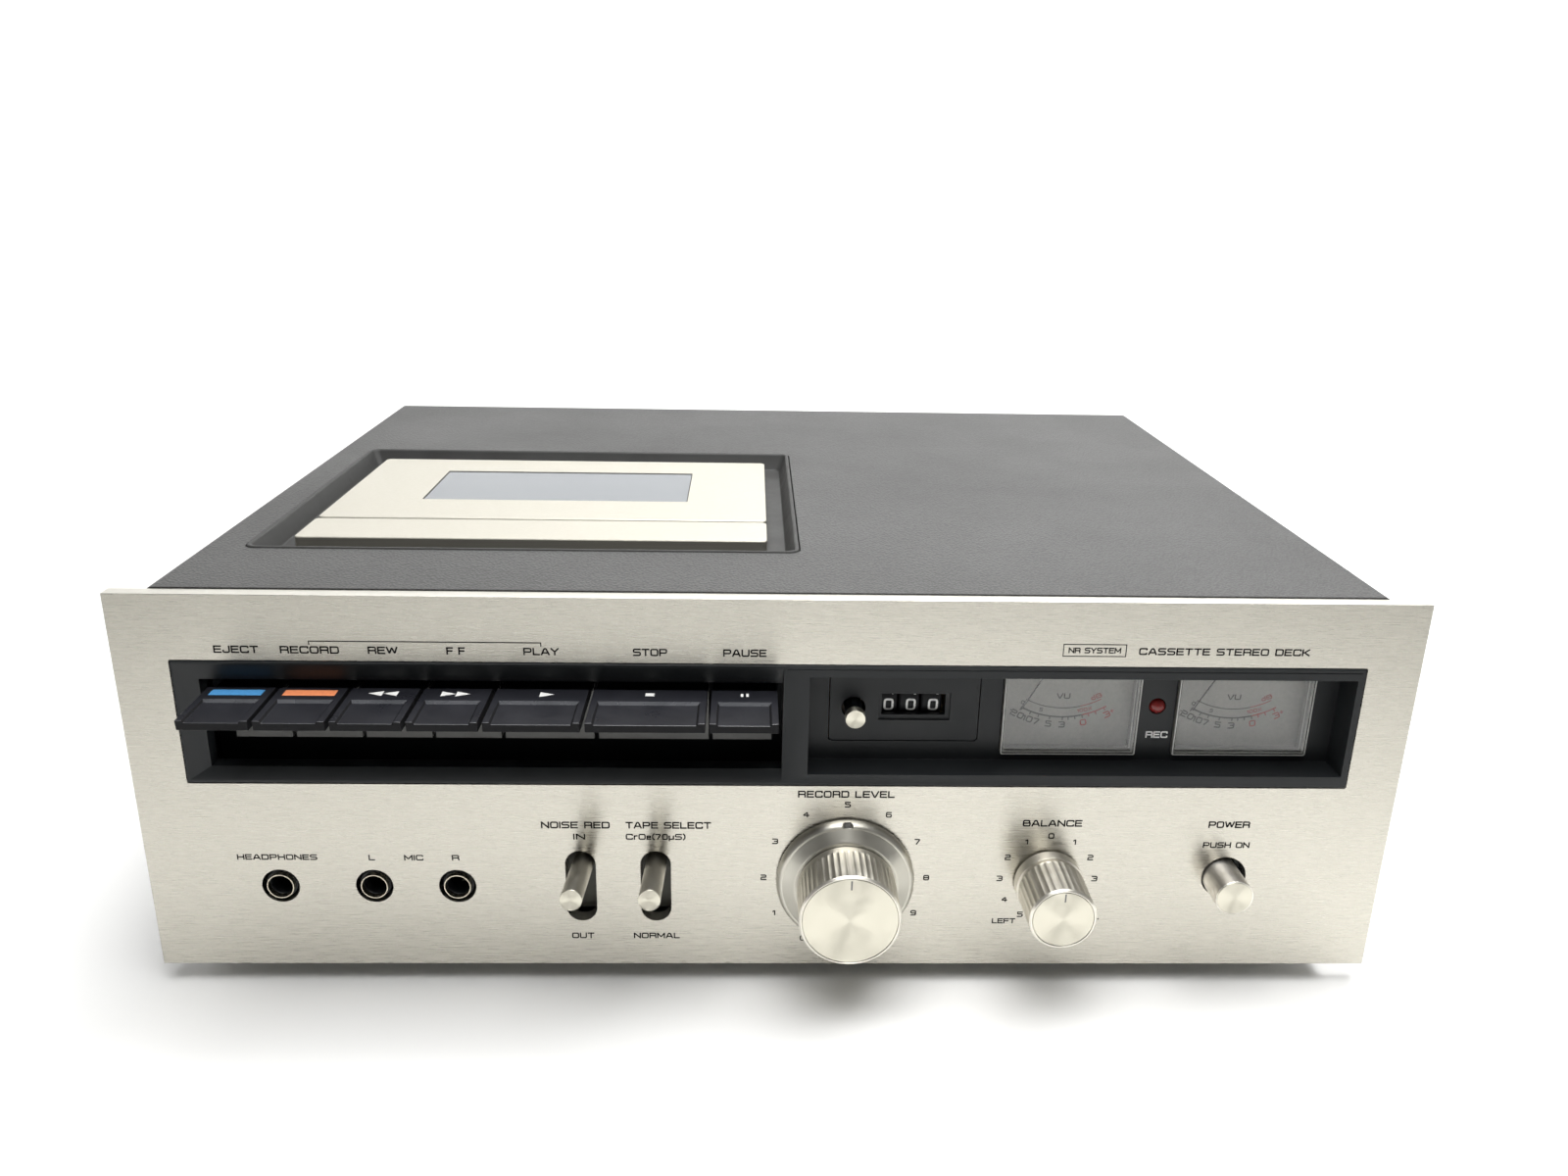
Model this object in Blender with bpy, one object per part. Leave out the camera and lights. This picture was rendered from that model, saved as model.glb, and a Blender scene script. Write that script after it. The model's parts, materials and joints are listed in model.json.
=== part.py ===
"""Cassette deck with a lid on top, piano keys, two level meters and rotary controls.

The layout is in millimetres: x runs to the right from the panel's centre line, y back from the front
panel's face, and z up from just above the panel's lower edge. The mesh helpers turn it into metres, and
one empty moves the whole deck so that its origin is the centre of its box, under the feet.
"""

import math

import bmesh
import bpy
from mathutils import Matrix, Vector

MM = 0.001

# Case
PANEL_W, PANEL_Z, PANEL_T = 410.0, (-0.5, 131.9), 5.0
COVER_HALF_W, COVER_TOP, COVER_BACK, SHEET = 194.4, 132.35, 299.0, 1.2
COVER_BEND = 2.5
FOOT_H, FOOT_R, FOOT_X, FOOT_Y = 8.0, 15.0, 160.0, (40.0, 260.0)
CHASSIS_FLOOR = (0.5, 1.9)
REAR_PANEL = (296.0, 297.5)
SOCKET_REACH = 307.0
GAP = 0.3

# Control bezel, let into the front panel
BEZEL_HALF_W, BEZEL_Z, BEZEL_PROUD = 187.5, (68.0, 110.0), 0.3
BEZEL_RIM = 1.2
KEY_OPENING_X, KEY_OPENING_Z = (-180.2, 2.3), (72.9, 103.1)
KEY_OPENING_DEPTH = 2.0
BEZEL_BACK = 7.0
RECESS_X, RECESS_Z = (10.6, 185.2), (72.0, 106.0)
BOARD = (11.0, 13.0)

# Keys: name, centre and width of the cap
KEYS = (
    ("eject_key", -166.65, 21.1),
    ("record_key", -144.2, 21.1),
    ("rewind_key", -121.8, 21.1),
    ("fast_forward_key", -99.4, 21.1),
    ("play_key", -73.1, 28.8),
    ("stop_key", -39.4, 35.7),
    ("pause_key", -9.9, 20.7),
)
KEY_FRONT, KEY_TOP, KEY_LIP = -23.3, (100.4, 101.0), 3.0
KEY_BODY_Y, KEY_BODY_Z = (9.0, 14.0), (79.9, 98.8)
KEY_ROD_Y, KEY_ROD_Z, KEY_ROD_R = 52.0, 92.0, 2.0
KEY_EYE_R, KEY_ARM_W = 5.0, 7.0

# Cassette bay in the cover's top
BAY_X, BAY_Y, BAY_CORNER = (-180.0, 8.5), (46.0, 195.0), 4.0
BAY_FLOOR, BAY_WALL_SLOPE = 125.7, 4.3
WELL_X, WELL_Y = (-165.0, -6.0), (80.0, 178.0)
LID_X, LID_TOP, LID_BOTTOM, LID_SKIN, LID_CORNER = (-168.9, -2.5), 131.5, 126.5, 1.5, 2.0
LID_Y, HEAD_COVER_Y = (87.3, 181.0), (62.0, 86.7)
WINDOW_X, WINDOW_Y = (-137.0, -33.4), (114.0, 160.0)
HINGE_Y, HINGE_Z, HINGE_PIN_R = 183.0, 121.5, 1.2
HINGE_ARMS_X = (-160.0, -11.0)
HINGE_ARM_W = 6.0

# Tape transport under the bay
PLATE_Z = (106.2, 107.8)
FRAME_X, FRAME_Y, FRAME_FRONT = (-184.0, 5.6), (58.0, 190.0), 46.0
REEL_X, REEL_Y = (-106.45, -63.95), 137.0
CAPSTAN = (-52.0, 109.0)
FLYWHEEL_R, FLYWHEEL_Z = 31.0, (66.0, 76.0)
MOTOR = (-140.0, 150.0)
MOTOR_R, PULLEY_R = 17.0, 5.0
PINCH_Y, PINCH_R = 94.9, 6.5
CARRIAGE_Z = (108.2, 109.4)

# Meters, counter and lamp in the recess
METER_X, METER_W, METER_Z = (74.3, 131.65), 46.7, (74.6, 104.4)
METER_CASE_Z, DIAL_Y = (76.0, 124.0), 17.0
NEEDLE_OFFSET, NEEDLE_Z, NEEDLE_L, NEEDLE_REST = 21.7, 114.2, 29.2, 28.8
LAMP = (125.9, 91.8)
COUNTER_X, COUNTER_Z = (17.9, 66.9), (78.9, 104.5)
COUNTER_WINDOW_X, COUNTER_WINDOW_Z = (34.4, 57.6), (87.0, 95.6)
WHEEL_NAMES = ("hundreds_wheel", "tens_wheel", "units_wheel")
WHEEL_X, WHEEL_PITCH, WHEEL_Y, WHEEL_Z, WHEEL_R = 37.0, 7.35, 23.3, 91.5, 9.3
RESET = (25.7, 90.5)

# Controls in the front panel's lower half
JACKS = (("headphone_jack", -162.5), ("left_microphone_jack", -131.8), ("right_microphone_jack", -104.5))
JACK_Z, JACK_HOLE_R, JACK_RING_R, JACK_BORE_R = 29.8, 6.1, 5.1, 3.9
LEVERS = (("noise_reduction_lever", -63.2), ("tape_select_lever", -38.9))
SLOT_Z, SLOT_W, SLOT_H = 29.9, 9.8, 26.2
LEVER_PIVOT_Y, LEVER_TILT, LEVER_REACH, LEVER_R = 47.0, 9.0, 73.7, 3.5
LEVEL = (24.1, 32.9)
BALANCE = (92.0, 33.0)
POWER = (151.5, 33.5)
POWER_HOLE_R, POWER_R, POWER_PROUD = 7.25, 6.25, 10.3

LEVER_TIP_Y = (
    LEVER_PIVOT_Y
    - LEVER_REACH * math.cos(math.radians(LEVER_TILT))
    - LEVER_R * math.sin(math.radians(LEVER_TILT))
)
DECK_ORIGIN = Vector((0.0, -(SOCKET_REACH + LEVER_TIP_Y) / 2, FOOT_H)) * MM

# Name: base colour, metallic, roughness
FINISHES = {
    "brushed_panel": ((0.62, 0.59, 0.53), 1.0, 0.35),
    "turned_metal": ((0.70, 0.69, 0.66), 1.0, 0.25),
    "lid_metal": ((0.66, 0.62, 0.53), 1.0, 0.4),
    "steel": ((0.55, 0.55, 0.55), 1.0, 0.35),
    "cover_coat": ((0.06, 0.06, 0.065), 0.0, 0.6),
    "black_moulding": ((0.02, 0.021, 0.021), 0.0, 0.5),
    "key_plastic": ((0.018, 0.018, 0.022), 0.0, 0.35),
    "rubber": ((0.03, 0.03, 0.03), 0.0, 0.9),
    "smoked_acrylic": ((0.12, 0.15, 0.2), 0.0, 0.1),
    "clear_acrylic": ((0.9, 0.92, 0.92), 0.0, 0.05),
    "dial_grey": ((0.45, 0.44, 0.41), 0.0, 0.6),
    "white_plastic": ((0.8, 0.8, 0.78), 0.0, 0.4),
    "lamp_red": ((0.4, 0.02, 0.02), 0.0, 0.2),
    "circuit_board": ((0.25, 0.16, 0.05), 0.0, 0.6),
    "iron": ((0.2, 0.2, 0.2), 1.0, 0.5),
}


def material(name):
    found = bpy.data.materials.get(name)
    if found:
        return found
    colour, metallic, roughness = FINISHES[name]
    made = bpy.data.materials.new(name)
    made.use_nodes = True
    shader = made.node_tree.nodes["Principled BSDF"]
    shader.inputs["Base Color"].default_value = (*colour, 1.0)
    shader.inputs["Metallic"].default_value = metallic
    shader.inputs["Roughness"].default_value = roughness
    return made


# Mesh helpers


def object_from(bm, name):
    """The bmesh, laid out in millimetres, as an object in metres."""
    bmesh.ops.remove_doubles(bm, verts=bm.verts, dist=1e-4)
    bmesh.ops.recalc_face_normals(bm, faces=bm.faces)
    bmesh.ops.scale(bm, vec=(MM, MM, MM), verts=bm.verts)
    mesh = bpy.data.meshes.new(name)
    bm.to_mesh(mesh)
    bm.free()
    made = bpy.data.objects.new(name, mesh)
    bpy.context.collection.objects.link(made)
    return made


def loft(rings, name, closed=False):
    """Faces between rings of equal length; the end rings are filled, or joined to each other."""
    bm = bmesh.new()
    lines = [[bm.verts.new(point) for point in ring] for ring in rings]
    pairs = list(zip(lines, lines[1:]))
    if closed:
        pairs.append((lines[-1], lines[0]))
    for first, second in pairs:
        for i in range(len(first)):
            j = (i + 1) % len(first)
            bm.faces.new((first[i], first[j], second[j], second[i]))
    if not closed:
        bm.faces.new(lines[0])
        bm.faces.new(lines[-1])
    return object_from(bm, name)


def box(name, x, y, z):
    corners = [(x[0], y[0]), (x[1], y[0]), (x[1], y[1]), (x[0], y[1])]
    return loft([[(*corner, level) for corner in corners] for level in z], name)


def prism_x(name, outline, x):
    """An outline of (y, z) points, drawn out along x."""
    return loft([[(at, *point) for point in outline] for at in x], name)


def prism_y(name, outline, y):
    """An outline of (x, z) points, drawn out along y."""
    return loft([[(point[0], at, point[1]) for point in outline] for at in y], name)


def prism_z(name, outline, z):
    """An outline of (x, y) points, drawn out along z."""
    return loft([[(*point, at) for point in outline] for at in z], name)


def circle(centre, radius, count=24):
    turns = [math.tau * i / count for i in range(count)]
    return [(centre[0] + radius * math.cos(t), centre[1] + radius * math.sin(t)) for t in turns]


def rounded(x, y, radius, count=5):
    """A rectangle with round corners, as points that run anticlockwise."""
    middles = (
        (x[1] - radius, y[1] - radius, 0.0),
        (x[0] + radius, y[1] - radius, 90.0),
        (x[0] + radius, y[0] + radius, 180.0),
        (x[1] - radius, y[0] + radius, 270.0),
    )
    points = []
    for cx, cy, start in middles:
        for i in range(count):
            turn = math.radians(start + 90.0 * i / (count - 1))
            points.append((cx + radius * math.cos(turn), cy + radius * math.sin(turn)))
    return points


def turned(name, profile, centre, axis, count=24, bored=False):
    """A profile of (radius, place along the axis) points, turned about an axis along x, y or z."""
    across = {"x": ("y", "z"), "y": ("x", "z"), "z": ("x", "y")}[axis]
    order = {"x": 0, "y": 1, "z": 2}
    rings = []
    for radius, along in profile:
        ring = []
        for u, v in circle(centre, max(radius, 0.01), count):
            point = [0.0, 0.0, 0.0]
            point[order[axis]] = along
            point[order[across[0]]] = u
            point[order[across[1]]] = v
            ring.append(tuple(point))
        rings.append(ring)
    return loft(rings, name, closed=bored)


def combine(target, operation, tools):
    """Joins the tools to the target, or cuts them from it, and removes them."""
    for tool in tools:
        step = target.modifiers.new(operation, "BOOLEAN")
        step.operation = operation
        step.solver = "EXACT"
        step.object = tool
        whole = bpy.context.evaluated_depsgraph_get()
        mesh = bpy.data.meshes.new_from_object(target.evaluated_get(whole))
        target.modifiers.clear()
        target.data = mesh
        bpy.data.objects.remove(tool)
    return target


def cut(target, *tools):
    return combine(target, "DIFFERENCE", tools)


def join(target, *tools):
    return combine(target, "UNION", tools)


def place(made, finish, pivot=(0.0, 0.0, 0.0)):
    """Gives a piece its finish, puts its origin on its pivot and hangs it on the deck's empty."""
    pivot = Vector(pivot) * MM
    made.data.transform(Matrix.Translation(-pivot))
    made.location = pivot
    made.parent = bpy.data.objects["deck"]
    made.data.name = made.name
    made.data.materials.clear()
    made.data.materials.append(material(finish))
    made.data.shade_smooth()
    made.data.set_sharp_from_angle(angle=math.radians(30.0))
    return made


# Case


def stadium(x, z, width, height, count=12):
    radius = width / 2
    rise = height / 2 - radius
    points = []
    for start, middle in ((0.0, z + rise), (180.0, z - rise)):
        for i in range(count + 1):
            turn = math.radians(start + 180.0 * i / count)
            points.append((x + radius * math.cos(turn), middle + radius * math.sin(turn)))
    return points


def front_panel():
    through = (-1.0, PANEL_T + 1.0)
    panel = box("front_panel", (-PANEL_W / 2, PANEL_W / 2), (0.0, PANEL_T), PANEL_Z)
    half = BEZEL_HALF_W + GAP
    cut(panel, box("hole", (-half, half), through, (BEZEL_Z[0] - GAP, BEZEL_Z[1] + GAP)))
    rounds = [((x, JACK_Z), JACK_HOLE_R) for _, x in JACKS]
    rounds += [(LEVEL, 6.0), (BALANCE, 5.5), (POWER, POWER_HOLE_R)]
    for centre, radius in rounds:
        cut(panel, prism_y("hole", circle(centre, radius), through))
    for _, x in LEVERS:
        cut(panel, prism_y("hole", stadium(x, SLOT_Z, SLOT_W, SLOT_H), through))
    place(panel, "brushed_panel")


def top_cover():
    outer = rounded((-COVER_HALF_W, COVER_HALF_W), (-20.0, COVER_TOP), COVER_BEND)
    inner = rounded(
        (-COVER_HALF_W + SHEET, COVER_HALF_W - SHEET), (-21.0, COVER_TOP - SHEET), COVER_BEND - SHEET
    )
    cover = prism_y("top_cover", outer, (PANEL_T + GAP, COVER_BACK))
    cut(cover, prism_y("hollow", inner, (0.0, COVER_BACK + 1.0)))
    cut(cover, box("below", (-210.0, 210.0), (0.0, COVER_BACK + 1.0), (-30.0, GAP)))
    hole_x = (BAY_X[0] - GAP, BAY_X[1] + GAP)
    hole_y = (BAY_Y[0] - GAP, BAY_Y[1] + GAP)
    cut(cover, prism_z("hole", rounded(hole_x, hole_y, BAY_CORNER + GAP), (120.0, 140.0)))
    place(cover, "cover_coat")


def bottom_chassis():
    low, high = CHASSIS_FLOOR
    front, back, flange = 6.0, REAR_PANEL[0] - 1.0, 15.0
    wall = high - low
    outline = (
        (front, low),
        (back, low),
        (back, flange),
        (back - wall, flange),
        (back - wall, high),
        (front + wall, high),
        (front + wall, flange),
        (front, flange),
    )
    half = COVER_HALF_W - SHEET - 0.4
    place(prism_x("bottom_chassis", outline, (-half, half)), "steel")


def rear_panel():
    half = COVER_HALF_W - SHEET - 0.6
    panel = box("rear_panel", (-half, half), REAR_PANEL, (CHASSIS_FLOOR[0], COVER_TOP - SHEET - GAP))
    cut(panel, box("hole", (-136.0, -88.0), (290.0, 300.0), (32.0, 80.0)))
    place(panel, "steel")


def line_socket_block():
    """Four round line sockets on one moulded block that fills the rear panel's hole."""
    block = box("line_socket_block", (-140.0, -84.0), (REAR_PANEL[1] + GAP, 299.5), (28.0, 84.0))
    join(block, box("body", (-135.0, -89.0), (285.0, 298.5), (33.0, 79.0)))
    for x in (-126.0, -98.0):
        for z in (42.0, 70.0):
            join(block, turned("shell", ((4.2, 299.0), (4.2, SOCKET_REACH)), (x, z), "y", 16))
            cut(block, turned("bore", ((1.7, 293.0), (1.7, SOCKET_REACH + 1.0)), (x, z), "y", 10))
    place(block, "black_moulding")


def feet():
    top = CHASSIS_FLOOR[0] - GAP
    profile = ((13.0, -FOOT_H), (FOOT_R, -FOOT_H + 4.0), (FOOT_R, top))
    for side, x in (("left", -FOOT_X), ("right", FOOT_X)):
        for end, y in zip(("front", "rear"), FOOT_Y):
            place(turned(f"{end}_{side}_foot", profile, (x, y), "z"), "rubber")


# Control bezel, with the recess for the meters


def control_bezel():
    front = -BEZEL_PROUD
    bezel = box("control_bezel", (-BEZEL_HALF_W, BEZEL_HALF_W), (front, BEZEL_BACK), BEZEL_Z)
    join(bezel, box("flange", (-191.5, 191.5), (PANEL_T + GAP, BEZEL_BACK), (64.0, 114.0)))
    rim_x = (-BEZEL_HALF_W + BEZEL_RIM, KEY_OPENING_X[1])
    rim_z = (BEZEL_Z[0] + BEZEL_RIM, BEZEL_Z[1] - BEZEL_RIM)
    stages = (
        (front - 1.0, rim_x, rim_z),
        (front, rim_x, rim_z),
        (KEY_OPENING_DEPTH, KEY_OPENING_X, KEY_OPENING_Z),
        (BEZEL_BACK + 1.0, KEY_OPENING_X, KEY_OPENING_Z),
    )
    rings = []
    for y, (x0, x1), (z0, z1) in stages:
        rings.append([(x0, y, z0), (x1, y, z0), (x1, y, z1), (x0, y, z1)])
    cut(bezel, loft(rings, "key_opening"))
    wall = 1.5
    join(
        bezel,
        box(
            "recess",
            (RECESS_X[0] - wall, RECESS_X[1] + wall),
            (1.0, BOARD[1]),
            (RECESS_Z[0] - wall, RECESS_Z[1] + wall),
        ),
    )
    cut(bezel, box("hollow", RECESS_X, (front - 1.0, BOARD[0]), RECESS_Z))
    through = (BOARD[0] - 1.0, BOARD[1] + 1.0)
    for x in METER_X:
        cut(bezel, box("hole", (x - GAP, x + METER_W + GAP), through, (METER_Z[0] - GAP, METER_Z[1] + GAP)))
    plate_x = (COUNTER_X[0] - GAP, COUNTER_X[1] + GAP)
    plate_z = (COUNTER_Z[0] - GAP, COUNTER_Z[1] + GAP)
    cut(bezel, box("hole", plate_x, through, plate_z))
    cut(bezel, prism_y("hole", circle(LAMP, 2.8, 20), through))
    place(bezel, "black_moulding")


def counter():
    """The tape counter: a plate with a window, a cage with an axle, three wheels and a reset button."""
    cage_x = (31.0, 61.5)
    housing = box("counter_housing", COUNTER_X, BOARD, COUNTER_Z)
    cut(housing, box("window", COUNTER_WINDOW_X, (9.0, 15.0), COUNTER_WINDOW_Z))
    cut(housing, prism_y("hole", circle(RESET, 3.9, 24), (9.0, 15.0)))
    for x in ((cage_x[0], cage_x[0] + 1.5), (cage_x[1] - 1.5, cage_x[1])):
        join(housing, box("cheek", x, (BOARD[1] - 0.5, 36.0), (80.0, 102.0)))
    join(housing, turned("axle", ((1.2, cage_x[0]), (1.2, cage_x[1])), (WHEEL_Y, WHEEL_Z), "x", 16))
    place(housing, "black_moulding")
    for i, name in enumerate(WHEEL_NAMES):
        x = WHEEL_X + i * WHEEL_PITCH
        profile = ((1.3, x - 3.3), (WHEEL_R, x - 3.3), (WHEEL_R, x + 3.3), (1.3, x + 3.3))
        wheel = turned(name, profile, (WHEEL_Y, WHEEL_Z), "x", 20, bored=True)
        place(wheel, "black_moulding", (x, WHEEL_Y, WHEEL_Z))
    profile = ((2.9, 2.0), (3.25, 2.4), (3.25, 6.0), (3.0, 6.0), (3.0, 30.0))
    place(turned("counter_reset_button", profile, RESET, "y", 24), "turned_metal", (RESET[0], 2.0, RESET[1]))


def meters():
    for side, left in zip(("left", "right"), METER_X):
        right = left + METER_W
        cover = box(f"{side}_meter_cover", (left, right), (9.2, BOARD[1] + GAP), METER_Z)
        hollow_z = (METER_Z[0] + 1.5, METER_Z[1] - 1.5)
        cut(cover, box("hollow", (left + 1.5, right - 1.5), (10.7, 15.0), hollow_z))
        place(cover, "clear_acrylic")
        case_front = BOARD[1] + 2 * GAP
        case = box(f"{side}_meter_case", (left + 1.5, right - 1.5), (case_front, 36.0), METER_CASE_Z)
        inside_z = (METER_CASE_Z[0] + 1.2, METER_CASE_Z[1] - 1.2)
        cut(case, box("inside", (left + 2.7, right - 2.7), (10.0, DIAL_Y), inside_z))
        place(case, "dial_grey")
        meter_needle(side, left + NEEDLE_OFFSET)
    profile = ((0.8, 9.5), (2.1, 10.2), (2.5, 11.5), (2.5, 13.4), (3.6, 13.4), (3.6, 20.0))
    place(turned("record_lamp", profile, LAMP, "y", 20), "lamp_red")


def meter_needle(side, x):
    """A needle that hangs from a pivot above the dial and rests at the left end of the scale."""
    blade = ((-0.5, 4.0), (0.5, 4.0), (0.5, -20.0), (0.3, -NEEDLE_L), (-0.3, -NEEDLE_L), (-0.5, -20.0))
    needle = prism_y(f"{side}_meter_needle", blade, (15.0, 15.6))
    join(needle, turned("hub", ((2.2, 14.4), (2.2, 16.2)), (0.0, 0.0), "y", 16))
    lean = Matrix.Rotation(math.radians(NEEDLE_REST), 4, "Y")
    needle.data.transform(Matrix.Translation(Vector((x, 0.0, NEEDLE_Z)) * MM) @ lean)
    place(needle, "black_moulding", (x, 15.3, NEEDLE_Z))


# Keys


def keys():
    first, last = KEYS[0][0], KEYS[-1][0]
    for name, x, width in KEYS:
        low, high = x - width / 2, x + width / 2
        lip_bottom = KEY_TOP[0] - KEY_LIP
        outline = (
            (KEY_FRONT, KEY_TOP[0]),
            (KEY_FRONT + 0.4, lip_bottom),
            (KEY_BODY_Y[1], lip_bottom),
            (KEY_BODY_Y[1], KEY_BODY_Z[1]),
            (2.5, KEY_BODY_Z[1]),
            (0.5, KEY_TOP[1]),
        )
        key = prism_x(name, outline, (low, high))
        body_low = low + (3.2 if name == first else 0.0)
        body_high = high - (1.5 if name == last else 0.0)
        join(key, box("body", (body_low, body_high), KEY_BODY_Y, KEY_BODY_Z))
        scoop = ((-8.8, 102.0), (-8.8, 100.72), (-10.3, 99.9), (-25.0, 99.6), (-25.0, 102.0))
        cut(key, prism_x("scoop", scoop, (low + 1.9, high - 1.9)))
        arm_x = (x - KEY_ARM_W / 2, x + KEY_ARM_W / 2)
        join(key, box("arm", arm_x, (KEY_BODY_Y[0] + 2.0, KEY_ROD_Y - 1.0), (89.0, 95.0)))
        rod = (KEY_ROD_Y, KEY_ROD_Z)
        join(key, prism_x("eye", circle(rod, KEY_EYE_R, 16), arm_x))
        cut(key, prism_x("hole", circle(rod, KEY_ROD_R + 0.09, 24), (arm_x[0] - 1.0, arm_x[1] + 1.0)))
        place(key, "key_plastic", (x, *rod))
    rod_ends = (FRAME_X[0] - 1.0, FRAME_X[1] + 1.0)
    place(prism_x("key_pivot_rod", circle((KEY_ROD_Y, KEY_ROD_Z), KEY_ROD_R, 24), rod_ends), "steel")


# Cassette bay


def inset(x, y, amount):
    return (x[0] + amount, x[1] - amount), (y[0] + amount, y[1] - amount)


def lid_surround():
    """A moulding with sloping walls and a floor round the lid, and a well down to the transport."""
    lip_x, lip_y = inset(BAY_X, BAY_Y, 0.9)
    foot_x, foot_y = inset(BAY_X, BAY_Y, BAY_WALL_SLOPE)
    well_out_x, well_out_y = inset(WELL_X, WELL_Y, -1.8)
    top, floor, under, low = COVER_TOP - 0.35, BAY_FLOOR, BAY_FLOOR - 1.5, PLATE_Z[1] + 0.4
    stages = (
        (BAY_X, BAY_Y, BAY_CORNER, top),
        (lip_x, lip_y, BAY_CORNER - 0.9, top),
        (foot_x, foot_y, 2.5, floor),
        (WELL_X, WELL_Y, 2.0, floor),
        (WELL_X, WELL_Y, 2.0, low),
        (well_out_x, well_out_y, 3.8, low),
        (well_out_x, well_out_y, 3.8, under),
        (BAY_X, BAY_Y, BAY_CORNER, under),
    )
    rings = [[(*point, z) for point in rounded(x, y, radius)] for x, y, radius, z in stages]
    surround = loft(rings, "lid_surround", closed=True)
    reach = HINGE_ARM_W / 2 + 0.4
    for x in HINGE_ARMS_X:
        cut(surround, box("slot", (x - reach, x + reach), (176.0, 186.0), (117.0, 128.0)))
        for side in (-1, 1):
            inner, outer = sorted((x + side * (reach + 0.4), x + side * (reach + 3.4)))
            join(surround, box("lug", (inner, outer), (179.5, 186.5), (118.0, under + 0.5)))
    pin = circle((HINGE_Y, HINGE_Z), HINGE_PIN_R + 0.3, 16)
    cut(surround, prism_x("pin_hole", pin, (WELL_X[0] - 10.0, WELL_X[1] + 10.0)))
    place(surround, "black_moulding")


def shell(name, y, bottom):
    """A plate with a skirt all round, open below."""
    made = prism_z(name, rounded(LID_X, y, LID_CORNER), (bottom, LID_TOP))
    in_x, in_y = inset(LID_X, y, LID_SKIN)
    inner = rounded(in_x, in_y, LID_CORNER - LID_SKIN)
    return cut(made, prism_z("hollow", inner, (bottom - 1.0, LID_TOP - LID_SKIN)))


def cassette_lid():
    lid = shell("cassette_lid", LID_Y, LID_BOTTOM)
    cut(lid, box("window", WINDOW_X, WINDOW_Y, (120.0, 140.0)))
    cut(lid, box("relief", (-175.0, 5.0), (170.0, 190.0), (120.0, LID_BOTTOM + 1.2)))
    plate = LID_TOP - LID_SKIN
    hook = (
        (166.0, plate + 0.5),
        (173.2, plate + 0.5),
        (173.2, 123.4),
        (HINGE_Y, 123.4),
        (HINGE_Y, 119.6),
        (170.0, 119.6),
        (168.0, 121.6),
    )
    for x in HINGE_ARMS_X:
        arm_x = (x - HINGE_ARM_W / 2, x + HINGE_ARM_W / 2)
        join(lid, prism_x("arm", hook, arm_x))
        join(lid, prism_x("boss", circle((HINGE_Y, HINGE_Z), 2.6, 24), arm_x))
        bore = circle((HINGE_Y, HINGE_Z), HINGE_PIN_R + 0.07, 32)
        cut(lid, prism_x("bore", bore, (arm_x[0] - 1.0, arm_x[1] + 1.0)))
    place(lid, "lid_metal", (sum(LID_X) / 2, HINGE_Y, HINGE_Z))


def lid_window():
    pane_x, pane_y = inset(WINDOW_X, WINDOW_Y, GAP)
    edge_x, edge_y = inset(WINDOW_X, WINDOW_Y, -2.0)
    plate = LID_TOP - LID_SKIN
    window = box("lid_window", edge_x, edge_y, (plate - 1.6, plate - GAP))
    join(window, box("pane", pane_x, pane_y, (plate - 1.0, LID_TOP - 0.3)))
    place(window, "smoked_acrylic", (sum(WINDOW_X) / 2, HINGE_Y, HINGE_Z))


def head_cover():
    place(shell("head_cover", HEAD_COVER_Y, BAY_FLOOR + GAP), "lid_metal")


def lid_hinge_pin():
    ends = (WELL_X[0] - 4.0, WELL_X[1] + 4.0)
    place(prism_x("lid_hinge_pin", circle((HINGE_Y, HINGE_Z), HINGE_PIN_R, 32), ends), "steel")


# Tape transport


def transport_frame():
    """A folded steel frame: a plate under the well and two cheeks that stand on the chassis floor."""
    frame = box("transport_frame", FRAME_X, FRAME_Y, PLATE_Z)
    wall = PLATE_Z[1] - PLATE_Z[0]
    for x in ((FRAME_X[0], FRAME_X[0] + wall), (FRAME_X[1] - wall, FRAME_X[1])):
        cheek = box("cheek", x, (FRAME_FRONT, FRAME_Y[1]), (CHASSIS_FLOOR[1] + GAP, PLATE_Z[1]))
        join(frame, cheek)
    for x in REEL_X:
        cut(frame, prism_z("hole", circle((x, REEL_Y), 3.5, 24), (100.0, 110.0)))
    cut(frame, prism_z("hole", circle(CAPSTAN, 2.5, 24), (100.0, 110.0)))
    rod = circle((KEY_ROD_Y, KEY_ROD_Z), KEY_ROD_R + GAP, 24)
    cut(frame, prism_x("rod_hole", rod, (FRAME_X[0] - 2.0, FRAME_X[1] + 2.0)))
    place(frame, "steel")


def reel_spindles():
    for name, x in zip(("supply_spindle", "takeup_spindle"), REEL_X):
        profile = ((4.5, 101.0), (4.5, 105.6), (3.0, 105.6), (3.0, 108.3), (10.5, 108.3), (10.5, 110.3))
        profile += ((3.4, 110.3), (3.4, 118.0), (1.5, 120.0))
        spindle = turned(name, profile, (x, REEL_Y), "z", 20)
        for i in range(3):
            spline = box("spline", (0.0, 4.7), (-0.6, 0.6), (109.0, 117.0))
            spin = Matrix.Rotation(math.radians(90.0 + 120.0 * i), 4, "Z")
            spline.data.transform(Matrix.Translation(Vector((x, REEL_Y, 0.0)) * MM) @ spin)
            join(spindle, spline)
        place(spindle, "white_plastic", (x, REEL_Y, 110.0))


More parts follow.
